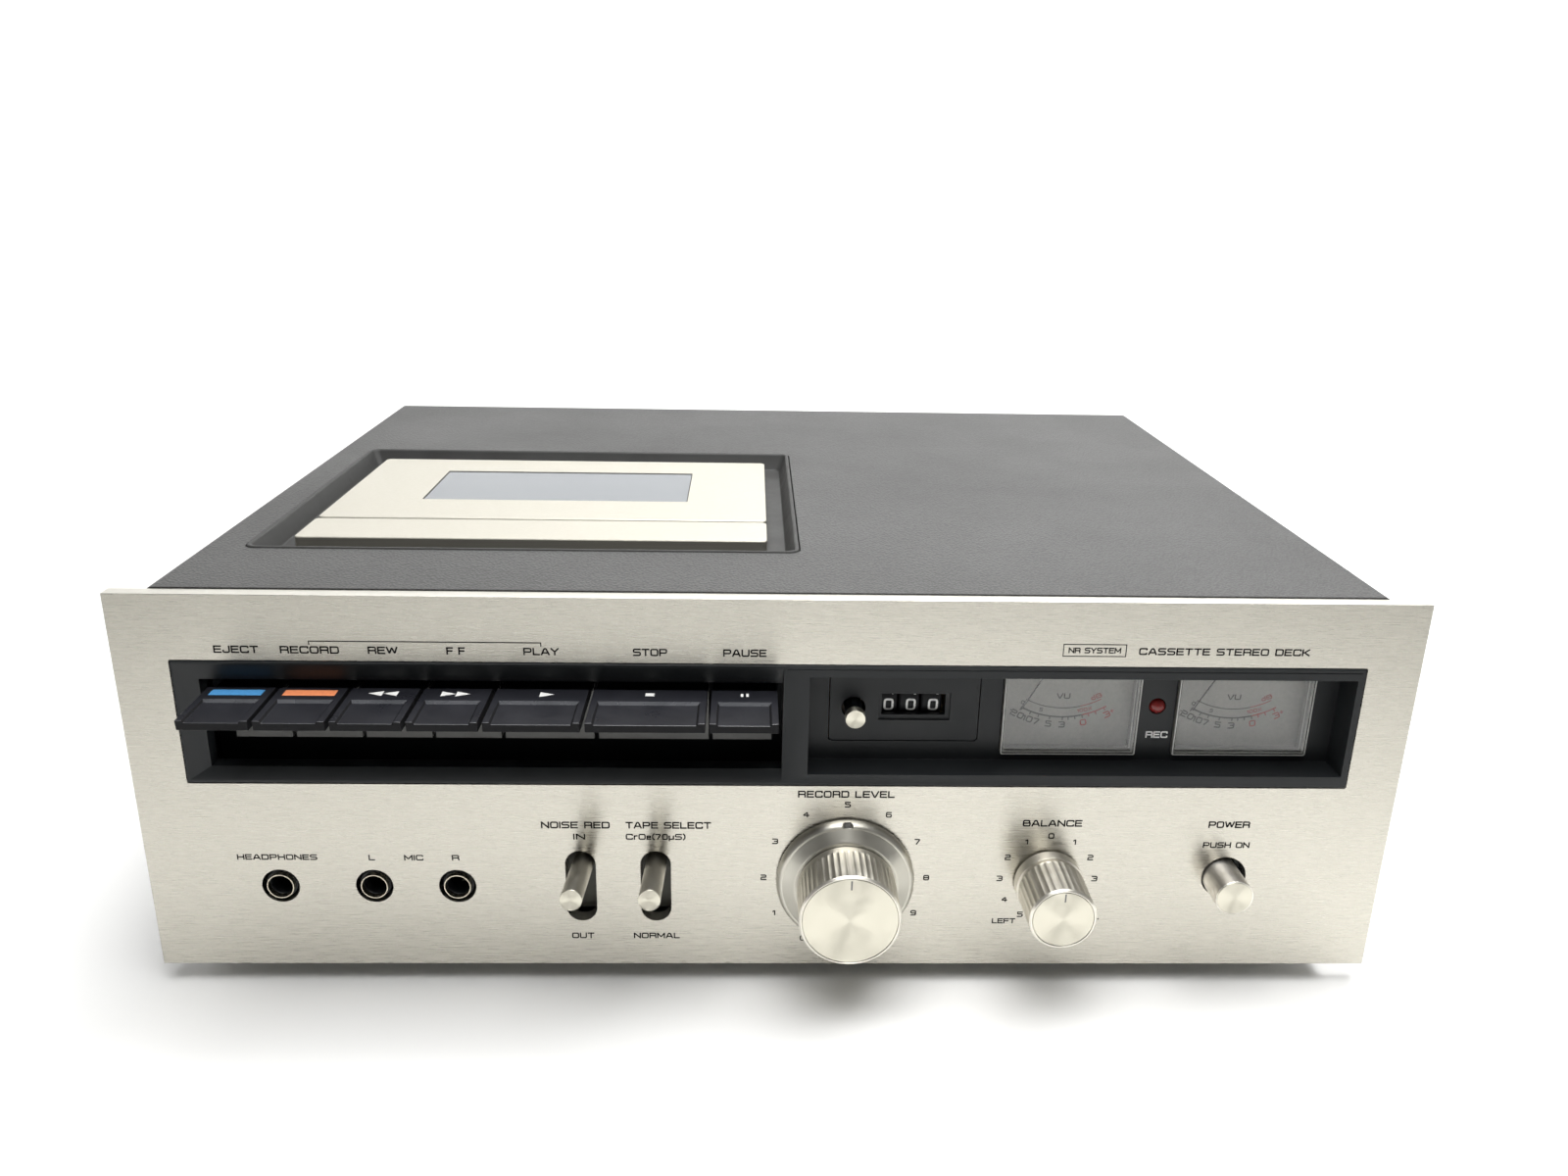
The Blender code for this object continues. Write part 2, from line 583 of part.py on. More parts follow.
def capstan_drive():
    low, high = FLYWHEEL_Z
    profile = ((1.25, 60.0), (1.25, low + 2.0), (8.0, low + 2.0), (20.0, low + 3.0), (25.0, low))
    profile += ((FLYWHEEL_R, low), (FLYWHEEL_R, high), (7.0, high), (7.0, high + 6.0), (1.25, high + 6.0))
    profile += ((1.25, 121.0),)
    place(turned("capstan_flywheel", profile, CAPSTAN, "z", 32), "steel", (*CAPSTAN, high))
    profile = ((MOTOR_R - 1.0, 105.8), (MOTOR_R, 105.0), (MOTOR_R, 79.0), (4.0, 78.0), (1.0, 78.0), (1.0, 64.0))
    place(turned("drive_motor", profile, MOTOR, "z", 24), "steel")
    profile = ((1.06, low), (PULLEY_R + 1.0, low), (PULLEY_R, low + 1.5), (PULLEY_R, high - 1.5))
    profile += ((PULLEY_R + 1.0, high), (1.06, high))
    pulley = turned("motor_pulley", profile, MOTOR, "z", 24, bored=True)
    place(pulley, "white_plastic", (*MOTOR, high))
    belt = prism_z("drive_belt", belt_line(1.3), (69.0, 73.0))
    cut(belt, prism_z("inside", belt_line(GAP), (68.0, 74.0)))
    place(belt, "rubber")


def belt_line(stand_off, count=24):
    """An open belt's outline, this far outside the flywheel and the motor pulley."""
    apart = Vector(MOTOR) - Vector(CAPSTAN)
    heading = math.atan2(apart.y, apart.x)
    lean = math.acos((FLYWHEEL_R - PULLEY_R) / apart.length)
    points = []
    for i in range(count + 1):
        turn = heading + lean + (math.tau - 2 * lean) * i / count
        radius = FLYWHEEL_R + stand_off
        points.append((CAPSTAN[0] + radius * math.cos(turn), CAPSTAN[1] + radius * math.sin(turn)))
    for i in range(count // 2 + 1):
        turn = heading - lean + 2 * lean * i / (count // 2)
        radius = PULLEY_R + stand_off
        points.append((MOTOR[0] + radius * math.cos(turn), MOTOR[1] + radius * math.sin(turn)))
    return points


def head_assembly():
    """The carriage that brings the head and the pinch roller up to the tape."""
    middle = sum(REEL_X) / 2
    top = CARRIAGE_Z[1]
    carriage = box("head_carriage", (middle - 43.0, CAPSTAN[0] + 12.0), (86.0, 99.0), CARRIAGE_Z)
    post = turned("post", ((1.5, top - 0.5), (1.5, 119.5)), (CAPSTAN[0], PINCH_Y), "z", 20)
    join(carriage, post)
    place(carriage, "steel", (middle, 92.0, top))
    outline = [(middle - 6.0, 90.0), (middle + 6.0, 90.0), (middle + 6.0, 98.5)]
    for i in range(1, 8):
        turn = math.radians(180.0 * i / 8)
        outline.append((middle + 6.0 * math.cos(turn), 98.5 + 2.5 * math.sin(turn)))
    outline.append((middle - 6.0, 98.5))
    head = prism_z("record_play_head", outline, (top + GAP, 119.7))
    place(head, "turned_metal", (middle, 92.0, top))
    profile = ((1.58, 110.2), (PINCH_R, 110.2), (PINCH_R, 118.6), (1.58, 118.6))
    roller = turned("pinch_roller", profile, (CAPSTAN[0], PINCH_Y), "z", 32, bored=True)
    place(roller, "rubber", (CAPSTAN[0], PINCH_Y, 114.4))


# Controls


def jacks():
    for name, x in JACKS:
        jack = box(name, (x - 8.0, x + 8.0), (PANEL_T + GAP, 30.0), (JACK_Z - 9.0, JACK_Z + 9.0))
        ring = turned("ring", ((JACK_RING_R, 1.5), (JACK_RING_R, PANEL_T + 1.0)), (x, JACK_Z), "y", 24)
        join(jack, ring)
        cut(jack, turned("bore", ((JACK_BORE_R, 0.0), (JACK_BORE_R, 31.0)), (x, JACK_Z), "y", 24))
        place(jack, "turned_metal")


def lever_switches():
    cheeks = ((-76.0, -74.0), (-29.0, -27.0))
    base_z = (CHASSIS_FLOOR[1] + GAP, 4.0)
    frame = box("lever_switch_frame", (cheeks[0][0], cheeks[1][1]), (38.0, 56.0), base_z)
    for x in cheeks:
        join(frame, box("cheek", x, (38.0, 56.0), (base_z[0], 36.0)))
    axle = turned("axle", ((1.5, cheeks[0][0]), (1.5, cheeks[1][1])), (LEVER_PIVOT_Y, SLOT_Z), "x", 20)
    join(frame, axle)
    place(frame, "steel")
    tilt = Matrix.Rotation(math.radians(-LEVER_TILT), 4, "X")
    for name, x in LEVERS:
        profile = ((LEVER_R, -LEVER_REACH), (LEVER_R, -20.0))
        lever = turned(name, profile, (0.0, 0.0), "y", 24)
        join(lever, box("arm", (-2.5, 2.5), (-21.0, -1.0), (-3.0, 3.0)))
        join(lever, prism_x("hub", circle((0.0, 0.0), 4.5, 24), (-2.5, 2.5)))
        cut(lever, prism_x("bore", circle((0.0, 0.0), 1.58, 24), (-4.0, 4.0)))
        pivot = Vector((x, LEVER_PIVOT_Y, SLOT_Z))
        lever.data.transform(Matrix.Translation(pivot * MM) @ tilt)
        place(lever, "turned_metal", pivot)


def fluted(name, centre, profile, flutes):
    """A knob turned about y; rings marked True carry grooves, two points to a flute."""
    count = flutes * 2
    rings = []
    for radius, y, grooved in profile:
        ring = []
        for i in range(count):
            turn = math.tau * i / count
            depth = 0.5 if grooved and i % 2 else 0.0
            reach = radius - depth
            ring.append((centre[0] + reach * math.cos(turn), y, centre[1] + reach * math.sin(turn)))
        rings.append(ring)
    return loft(rings, name)


def level_knobs():
    profile = ((3.6, -6.0), (17.4, -6.0), (17.9, -3.6), (20.8, -2.9), (21.2, -3.3), (22.3, -3.0))
    profile += ((22.5, -2.4), (22.5, -0.8), (4.6, -0.8), (4.6, 5.5), (3.6, 5.5))
    outer = turned("outer_level_knob", profile, LEVEL, "y", 40, bored=True)
    cut(outer, box("index", (LEVEL[0] - 0.4, LEVEL[0] + 0.4), (-4.5, -2.4), (LEVEL[1] + 18.5, LEVEL[1] + 24.0)))
    place(outer, "turned_metal", (LEVEL[0], -6.0, LEVEL[1]))
    profile = (
        (15.4, -24.4, False),
        (16.35, -23.5, False),
        (16.35, -21.6, False),
        (16.35, -21.5, True),
        (16.35, -9.6, True),
        (16.35, -6.5, False),
        (3.4, -6.4, False),
        (3.4, 8.0, False),
    )
    place(fluted("inner_level_knob", LEVEL, profile, 32), "turned_metal", (LEVEL[0], -24.4, LEVEL[1]))
    control = turned("level_control", ((12.0, 9.0), (12.0, 34.0)), LEVEL, "y", 24)
    join(control, turned("bushing", ((5.8, -0.4), (5.8, 10.0)), LEVEL, "y", 24))
    cut(control, turned("bore", ((4.75, -2.0), (4.75, 8.6)), LEVEL, "y", 24))
    place(control, "steel")


def balance_knob():
    profile = (
        (10.0, -23.4, False),
        (10.85, -22.7, False),
        (10.85, -20.6, False),
        (11.1, -20.5, True),
        (11.1, -6.4, True),
        (11.3, -4.9, False),
        (11.3, -0.9, False),
        (3.0, -0.8, False),
        (3.0, 8.0, False),
    )
    place(fluted("balance_knob", BALANCE, profile, 24), "turned_metal", (BALANCE[0], -23.4, BALANCE[1]))
    control = turned("balance_control", ((10.0, 9.0), (10.0, 26.0)), BALANCE, "y", 24)
    join(control, turned("bushing", ((5.2, -0.4), (5.2, 10.0)), BALANCE, "y", 24))
    cut(control, turned("bore", ((3.2, -2.0), (3.2, 8.6)), BALANCE, "y", 24))
    place(control, "steel")


def power_control():
    profile = ((POWER_R - 0.4, -POWER_PROUD), (POWER_R, -POWER_PROUD + 0.4), (POWER_R, 5.0), (3.0, 5.0), (3.0, 13.0))
    button = turned("power_button", profile, POWER, "y", 24)
    place(button, "turned_metal", (POWER[0], -POWER_PROUD, POWER[1]))
    switch = box("power_switch", (142.0, 161.0), (18.0, 50.0), (CHASSIS_FLOOR[1] + GAP, 45.0))
    place(switch, "black_moulding")


# Electrics


def electrics():
    floor = CHASSIS_FLOOR[1] + GAP
    transformer = box("power_transformer", (112.0, 168.0), (225.0, 260.0), (floor, 58.0))
    join(transformer, box("coil", (120.0, 160.0), (216.0, 269.0), (12.0, 48.0)))
    place(transformer, "iron")
    board_z = (14.0, 15.6)
    board = box("main_circuit_board", (15.0, 100.0), (70.0, 285.0), board_z)
    for x in (20.0, 95.0):
        for y in (76.0, 279.0):
            join(board, turned("standoff", ((3.0, floor), (3.0, 14.5)), (x, y), "z", 10))
    for x, y, radius in ((32.0, 100.0, 6.0), (50.0, 100.0, 6.0), (34.0, 250.0, 11.0), (62.0, 250.0, 11.0)):
        join(board, turned("capacitor", ((radius, 15.0), (radius, 15.0 + 2.6 * radius)), (x, y), "z", 12))
    for y in (130.0, 160.0, 190.0):
        join(board, box("chip", (60.0, 80.0), (y, y + 8.0), (15.0, 19.0)))
    place(board, "circuit_board")


def build():
    for old in list(bpy.data.objects):
        bpy.data.objects.remove(old)
    deck = bpy.data.objects.new("deck", None)
    deck.location = DECK_ORIGIN
    bpy.context.collection.objects.link(deck)
    front_panel()
    top_cover()
    bottom_chassis()
    rear_panel()
    line_socket_block()
    feet()
    control_bezel()
    counter()
    meters()
    keys()
    lid_surround()
    cassette_lid()
    lid_window()
    head_cover()
    lid_hinge_pin()
    transport_frame()
    reel_spindles()
    capstan_drive()
    head_assembly()
    jacks()
    lever_switches()
    level_knobs()
    balance_knob()
    power_control()
    electrics()


build()
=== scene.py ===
"""Looks for the cassette deck: finished meshes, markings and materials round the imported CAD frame.

Sizes are in millimetres in the deck's own layout: x to the right from the panel's middle, y back from
the panel's face and z up from just above the panel's lower edge. at() turns them into the frame's metres.
"""

import json
import math

import bmesh
import bpy
from mathutils import Matrix, Vector

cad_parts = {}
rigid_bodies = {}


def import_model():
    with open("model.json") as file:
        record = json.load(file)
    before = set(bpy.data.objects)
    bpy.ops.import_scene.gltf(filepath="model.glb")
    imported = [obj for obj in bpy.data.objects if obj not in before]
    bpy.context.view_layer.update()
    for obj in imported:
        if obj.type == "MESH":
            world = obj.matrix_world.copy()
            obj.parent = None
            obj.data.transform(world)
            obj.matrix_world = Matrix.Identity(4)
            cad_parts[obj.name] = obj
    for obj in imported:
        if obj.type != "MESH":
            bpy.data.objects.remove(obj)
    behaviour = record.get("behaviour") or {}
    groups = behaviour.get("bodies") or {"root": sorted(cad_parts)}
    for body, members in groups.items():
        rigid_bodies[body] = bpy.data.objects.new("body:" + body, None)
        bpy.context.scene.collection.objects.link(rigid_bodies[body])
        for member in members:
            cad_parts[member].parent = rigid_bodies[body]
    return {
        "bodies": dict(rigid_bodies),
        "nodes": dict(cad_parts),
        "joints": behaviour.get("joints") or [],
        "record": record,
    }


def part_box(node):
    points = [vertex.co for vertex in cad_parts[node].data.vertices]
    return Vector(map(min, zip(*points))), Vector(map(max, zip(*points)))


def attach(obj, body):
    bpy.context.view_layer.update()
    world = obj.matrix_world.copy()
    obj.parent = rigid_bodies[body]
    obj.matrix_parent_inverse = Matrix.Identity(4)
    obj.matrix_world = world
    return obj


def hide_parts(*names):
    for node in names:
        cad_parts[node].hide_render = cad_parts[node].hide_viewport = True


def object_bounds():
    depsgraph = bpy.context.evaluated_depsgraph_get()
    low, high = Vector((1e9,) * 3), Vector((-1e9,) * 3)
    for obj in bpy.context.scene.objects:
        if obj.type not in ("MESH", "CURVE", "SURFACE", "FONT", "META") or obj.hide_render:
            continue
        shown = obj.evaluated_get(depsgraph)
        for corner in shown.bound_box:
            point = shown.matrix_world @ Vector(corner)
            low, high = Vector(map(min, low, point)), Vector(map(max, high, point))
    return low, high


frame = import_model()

CAD_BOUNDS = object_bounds()
MM = 0.001
PANEL_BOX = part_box("front_panel")
PANEL_DROP = 0.5
ORIGIN = Vector(((PANEL_BOX[0].x + PANEL_BOX[1].x) / 2, PANEL_BOX[0].y, PANEL_BOX[0].z + PANEL_DROP * MM))
PANEL_BACK = (PANEL_BOX[1].y - PANEL_BOX[0].y) / MM
INK_RAISE = 0.04


def at(x, y, z):
    return ORIGIN + Vector((x, y, z)) * MM


def span(node):
    """A CAD node's box in layout millimetres: (x0, x1), (y0, y1), (z0, z1)."""
    low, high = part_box(node)
    low = (low - ORIGIN) / MM
    high = (high - ORIGIN) / MM
    return (low.x, high.x), (low.y, high.y), (low.z, high.z)


def middle(pair):
    return (pair[0] + pair[1]) / 2


# Materials

RAMP_SOCKETS = ("From Min", "From Max", "To Min", "To Max")


class Finish:
    """A Principled material with short ways to add noise, bump and colour variation."""

    def __init__(self, name, colour, roughness, metallic=0.0, **sockets):
        self.material = bpy.data.materials.new(name)
        self.material.use_nodes = True
        self.tree = self.material.node_tree
        self.shader = self.tree.nodes["Principled BSDF"]
        self.colour = (*colour, 1.0)
        self.shader.inputs["Base Color"].default_value = self.colour
        self.shader.inputs["Roughness"].default_value = roughness
        self.shader.inputs["Metallic"].default_value = metallic
        for socket, value in sockets.items():
            self.shader.inputs[socket.replace("_", " ")].default_value = value
        self.roughness = roughness
        self.height = None

    def node(self, kind, **settings):
        made = self.tree.nodes.new(kind)
        for key, value in settings.items():
            setattr(made, key, value)
        return made

    def link(self, source, target):
        self.tree.links.new(source, target)

    def place(self, scale=(1.0, 1.0, 1.0)):
        """Object coordinates, scaled per axis, so that a noise can be stretched along a grain."""
        coordinates = self.node("ShaderNodeTexCoord")
        mapping = self.node("ShaderNodeMapping")
        mapping.inputs["Scale"].default_value = scale
        self.link(coordinates.outputs["Object"], mapping.inputs["Vector"])
        return mapping.outputs["Vector"]

    def noise(self, scale, stretch=(1.0, 1.0, 1.0), detail=2.0, roughness=0.5):
        made = self.node("ShaderNodeTexNoise")
        made.inputs["Scale"].default_value = scale
        made.inputs["Detail"].default_value = detail
        made.inputs["Roughness"].default_value = roughness
        self.link(self.place(stretch), made.inputs["Vector"])
        return made.outputs["Fac"]

    def ramp(self, value, *limits):
        """Maps a value from the first two limits to the last two."""
        made = self.node("ShaderNodeMapRange")
        for socket, number in zip(RAMP_SOCKETS, limits):
            made.inputs[socket].default_value = number
        self.link(value, made.inputs["Value"])
        return made.outputs["Result"]

    def vary_colour(self, value, darker, lighter, low=0.35, high=0.65):
        """The base colour goes from one multiple of itself to another with the value."""
        mix = self.node("ShaderNodeMix", data_type="RGBA")
        mix.inputs["A"].default_value = (*[c * darker for c in self.colour[:3]], 1.0)
        mix.inputs["B"].default_value = (*[min(1.0, c * lighter) for c in self.colour[:3]], 1.0)
        self.link(self.ramp(value, low, high, 0.0, 1.0), mix.inputs["Factor"])
        self.link(mix.outputs["Result"], self.shader.inputs["Base Color"])

    def vary_roughness(self, value, less, more, low=0.35, high=0.65):
        result = self.ramp(value, low, high, self.roughness - less, self.roughness + more)
        self.link(result, self.shader.inputs["Roughness"])

    def bump(self, value, strength, distance):
        made = self.node("ShaderNodeBump")
        made.inputs["Strength"].default_value = strength
        made.inputs["Distance"].default_value = distance
        self.link(value, made.inputs["Height"])
        if self.height:
            self.link(self.height, made.inputs["Normal"])
        self.height = made.outputs["Normal"]
        self.link(self.height, self.shader.inputs["Normal"])

    def spun(self, axis, strength):
        """Fine rings round an axis through the object's origin, which spread highlights across them."""
        tangent = self.node("ShaderNodeTangent", direction_type="RADIAL", axis=axis)
        self.link(tangent.outputs["Tangent"], self.shader.inputs["Tangent"])
        self.shader.inputs["Anisotropic Rotation"].default_value = 0.25
        rings = self.node("ShaderNodeTexWave", wave_type="RINGS", rings_direction=axis)
        rings.inputs["Scale"].default_value = 900.0
        rings.inputs["Distortion"].default_value = 0.6
        rings.inputs["Detail"].default_value = 3.0
        self.link(self.place(), rings.inputs["Vector"])
        self.bump(rings.outputs["Fac"], strength, 0.00003)


def brushed_aluminium():
    """Hairlines along x, which spread highlights up and down."""
    made = Finish("brushed_aluminium", (0.565, 0.541, 0.479), 0.28, 1.0, Anisotropic=0.77)
    across = made.node("ShaderNodeCombineXYZ")
    across.inputs["Z"].default_value = 1.0
    made.link(across.outputs["Vector"], made.shader.inputs["Tangent"])
    hairs = made.noise(1.0, (110.0, 500.0, 2400.0), 3.0, 0.65)
    made.vary_colour(hairs, 0.86, 1.10, 0.3, 0.7)
    made.vary_roughness(hairs, 0.05, 0.07)
    fine = made.noise(1.0, (160.0, 700.0, 6500.0), 2.0, 0.6)
    made.bump(fine, 0.3, 0.00004)
    return made.material


def turned_aluminium(name, axis, colour=(0.83, 0.81, 0.75), roughness=0.24, stretch=0.7):
    made = Finish(name, colour, roughness, 1.0, Anisotropic=stretch)
    smudge = made.noise(160.0, detail=3.0)
    made.vary_roughness(smudge, 0.04, 0.06)
    made.spun(axis, 0.25)
    return made.material


def satin_metal(name, colour, roughness):
    made = Finish(name, colour, roughness, 1.0)
    grain = made.noise(1.0, (600.0, 2500.0, 2500.0), 3.0, 0.6)
    made.vary_roughness(grain, 0.05, 0.07)
    made.bump(grain, 0.12, 0.00003)
    return made.material


def coated_steel():
    """The cover's vinyl-like coat: a fine pebble grain with a soft sheen."""
    made = Finish("grained_coat", (0.0365, 0.0365, 0.0355), 0.47)
    cells = made.node("ShaderNodeTexVoronoi", feature="SMOOTH_F1")
    cells.inputs["Scale"].default_value = 1200.0
    cells.inputs["Smoothness"].default_value = 0.5
    made.link(made.place(), cells.inputs["Vector"])
    made.bump(cells.outputs["Distance"], 1.0, 0.0002)
    fine = made.noise(2600.0, detail=2.0)
    made.bump(fine, 0.25, 0.00005)
    handled = made.noise(9.0, detail=4.0, roughness=0.6)
    made.vary_roughness(handled, 0.04, 0.05)
    made.vary_colour(cells.outputs["Distance"], 1.45, 0.6, 0.1, 0.6)
    return made.material


def moulded(name, colour, roughness, grain=0.10, shine=0.3, **sockets):
    made = Finish(name, colour, roughness, Specular_IOR_Level=shine, **sockets)
    skin = made.noise(2200.0, detail=2.0)
    made.bump(skin, grain, 0.00004)
    dust = made.noise(70.0, detail=4.0, roughness=0.6)
    made.vary_roughness(dust, 0.05, 0.07)
    made.vary_colour(dust, 0.9, 1.12)
    return made.material


def printed(name, colour, roughness=0.55, **sockets):
    made = Finish(name, colour, roughness, **sockets)
    speck = made.noise(900.0, detail=2.0)
    made.vary_colour(speck, 0.93, 1.05)
    return made.material


def clear(name, colour, roughness, transmission):
    """A transparent plastic; its faint unevenness is in the colour, so that it stays sharp."""
    made = Finish(name, colour, roughness, Transmission_Weight=transmission, IOR=1.49)
    made.vary_colour(made.noise(60.0, detail=3.0), 0.97, 1.0)
    return made.material


def circuit_board():
    made = Finish("board_resin", (0.30, 0.19, 0.07), 0.45)
    weave = made.noise(1.0, (500.0, 2500.0, 900.0), 3.0)
    made.vary_colour(weave, 0.8, 1.15)
    made.bump(weave, 0.1, 0.00003)
    return made.material


BRUSHED = brushed_aluminium()
SPUN = turned_aluminium("spun_aluminium", "Y", (0.61, 0.585, 0.495), 0.34, 0.92)
# A lighter copy of the turned aluminium: painted light on the knobs' bodies and fluted skirts
SPUN_SIDE_PAINTED_LIGHT = turned_aluminium("turned_side_painted_light", "Y", (0.78, 0.75, 0.67), 0.34)
# A lighter copy of the turned aluminium: painted light on the power button's side
BUTTON_SIDE_PAINTED_LIGHT = turned_aluminium("turned_button_side_painted_light", "Y", (0.86, 0.83, 0.77), 0.34)
RING_METAL = turned_aluminium("ring_aluminium", "Y", (0.50, 0.485, 0.43), 0.34)
SPUN_BAR = turned_aluminium("turned_bar", "Y", (0.52, 0.50, 0.44), 0.32)
LID_METAL = satin_metal("champagne_lid", (0.63, 0.605, 0.53), 0.42)
# A darker copy of the lid metal: painted shade on the plates' turned-down edges
LID_SHADED_EDGE = satin_metal("champagne_lid_painted_shade_edge", (0.46, 0.44, 0.39), 0.45)
# A lighter, plainer copy of the panel metal: painted highlight on every face that looks up, the panel's top
# edge and the lower walls of its holes
PANEL_TOP_HIGHLIGHT = satin_metal("panel_top_painted_highlight", (0.74, 0.72, 0.66), 0.36)
PLATED = satin_metal("plated_steel", (0.60, 0.60, 0.58), 0.32)
DARK_STEEL = satin_metal("dark_steel", (0.16, 0.16, 0.16), 0.45)
BRASS = satin_metal("socket_nickel", (0.62, 0.57, 0.46), 0.28)
COAT = coated_steel()
BLACK = moulded("black_moulding", (0.0115, 0.0130, 0.0142), 0.42)
# Black plastic, made darker and duller than the other black mouldings as painted shade, for parts deep
# inside: the counter drums, the key baffle and the jack bodies
BLACK_PAINTED_SHADE = moulded("black_moulding_painted_shade", (0.004, 0.0045, 0.0055), 0.6)
RECESS_BLACK = moulded("recess_moulding_black", (0.032, 0.032, 0.031), 0.5)
SHIELD_GREY = moulded("shield_grey", (0.06, 0.058, 0.048), 0.5)
KEY_BLACK = moulded("key_moulding", (0.0125, 0.013, 0.0165), 0.32, 0.16, 0.35)
# A lighter, shinier copy of the key moulding: painted highlight on the key edges that face up and forward
KEY_HIGHLIGHT_EDGE = moulded("key_painted_highlight_edge", (0.06, 0.062, 0.068), 0.24, 0.08, 0.8)
# A darker, duller copy of the key moulding: painted shade on the keys' fronts and sides
KEY_SHADED_SIDE = moulded("key_painted_shade_side", (0.006, 0.006, 0.007), 0.6, 0.16, 0.15)
KEY_BODY = moulded("key_body_moulding", (0.10, 0.10, 0.095), 0.45)
RUBBER = moulded("foot_rubber", (0.02, 0.02, 0.02), 0.85, 0.3)
WHITE_PLASTIC = moulded("white_moulding", (0.72, 0.71, 0.67), 0.4)
DIAL = printed("dial_card", (0.42, 0.415, 0.385))
FRAME_GREY = printed("meter_frame_grey", (0.50, 0.495, 0.47), 0.4)
# A darker copy of the meter frame's grey: painted shade on the frame's step walls
FRAME_PAINTED_SHADE = printed("meter_frame_painted_shade", (0.22, 0.217, 0.20), 0.4)
INK = printed("black_ink", (0.006, 0.006, 0.006), 0.6, Specular_IOR_Level=0.1)
INK_RED = printed("red_ink", (0.36, 0.025, 0.02), 0.6, Specular_IOR_Level=0.1)
INK_WHITE = printed("white_ink", (0.78, 0.78, 0.76))
INK_BLUE = printed("blue_ink", (0.07, 0.27, 0.55), 0.4)
INK_ORANGE = printed("orange_ink", (0.74, 0.25, 0.11), 0.4)
ACRYLIC = clear("clear_acrylic", (0.96, 0.96, 0.95), 0.0, 1.0)
SMOKED = clear("smoked_acrylic", (0.14, 0.155, 0.172), 0.10, 0.25)
LAMP_RED = clear("lamp_red", (0.26, 0.02, 0.018), 0.16, 0.3)
BOARD_RESIN = circuit_board()


# Mesh helpers


def finished(bm, name, material, pivot=(0.0, 0.0, 0.0), body="deck", bevel=0.0, stands_for=(), steps=2):
    """A bmesh in layout millimetres as a piece that rides on a body, with its origin on its pivot."""
    bmesh.ops.remove_doubles(bm, verts=bm.verts, dist=1e-4)
    return dress(placed(bm, name, pivot), material, body, bevel, stands_for, steps)


def placed(bm, name, pivot):
    """A bmesh in layout millimetres as an object in the frame's metres, with its origin on its pivot."""
    bmesh.ops.recalc_face_normals(bm, faces=bm.faces)
    bmesh.ops.translate(bm, vec=-Vector(pivot), verts=bm.verts)
    bmesh.ops.scale(bm, vec=(MM, MM, MM), verts=bm.verts)
    mesh = bpy.data.meshes.new(name)
    bm.to_mesh(mesh)
    bm.free()
    made = bpy.data.objects.new(name, mesh)
    bpy.context.collection.objects.link(made)
    made.location = at(*pivot)
    return made


def bevelled(made, width, steps=3):
    rounding = made.modifiers.new("rounding", "BEVEL")
    rounding.width = width * MM
    rounding.segments = steps
    rounding.limit_method = "ANGLE"
    rounding.angle_limit = math.radians(35.0)
    bake(made)


def dress(made, material, body="deck", bevel=0.0, stands_for=(), steps=2, name=None):
    """Gives a piece its edges, finish and shading, then its place in the assembly."""
    made.name = name or made.name
    if bevel:
        bevelled(made, bevel, steps)
    made.data.materials.clear()
    made.data.materials.append(material)
    made.data.shade_smooth()
    made.data.set_sharp_from_angle(angle=math.radians(32.0))
    flat = made.modifiers.new("flat_faces", "WEIGHTED_NORMAL")
    flat.keep_sharp = True
    bake(made)
    if stands_for:
        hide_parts(*stands_for)
    if body:
        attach(made, body)
    return made


def refinish(made, material, test):
    """A second finish on the faces that pass the test."""
    made.data.materials.append(material)
    for face in made.data.polygons:
        if test(face):
            face.material_index = len(made.data.materials) - 1


def bake(made):
    whole = bpy.context.evaluated_depsgraph_get()
    mesh = bpy.data.meshes.new_from_object(made.evaluated_get(whole))
    made.modifiers.clear()
    made.data = mesh


def combine(made, others, operation):
    """Uses up the others, one by one. All share one place before the piece rides."""
    for other in others:
        step = made.modifiers.new("combine", "BOOLEAN")
        step.operation = operation
        step.solver = "EXACT"
        step.object = other
        bake(made)
        bpy.data.objects.remove(other)


def carve(made, *cutters):
    combine(made, cutters, "DIFFERENCE")


def fuse(made, *others):
    combine(made, others, "UNION")


def raw(bm):
    """A cutter or a part of a piece: a plain object in the frame's metres, with no material."""
    return finished(bm, "raw", INK, body=None)


def loft(rings, closed=False, bm=None):
    bm = bm or bmesh.new()
    lines = [[bm.verts.new(point) for point in ring] for ring in rings]
    pairs = list(zip(lines, lines[1:]))
    if closed:
        pairs.append((lines[-1], lines[0]))
    for first, second in pairs:
        for i in range(len(first)):
            j = (i + 1) % len(first)
            bm.faces.new((first[i], first[j], second[j], second[i]))
    if not closed:
        bm.faces.new(list(reversed(lines[0])))
        bm.faces.new(lines[-1])
    return bm


def block(x, y, z, bm=None):
    corners = [(x[0], y[0]), (x[1], y[0]), (x[1], y[1]), (x[0], y[1])]
    return loft([[(*corner, level) for corner in corners] for level in z], bm=bm)


def drawn(outline, ends, axis, bm=None):
    """A flat outline drawn out along x, y or z; its points are the other two coordinates in order."""
    index = "xyz".index(axis)
    rings = []
    for end in ends:
        ring = []
        for point in outline:
            full = list(point)
            full.insert(index, end)
            ring.append(tuple(full))
        rings.append(ring)
    return loft(rings, bm=bm)


def circle(centre, radius, count=48):
    turns = [math.tau * i / count for i in range(count)]
    return [(centre[0] + radius * math.cos(t), centre[1] + radius * math.sin(t)) for t in turns]


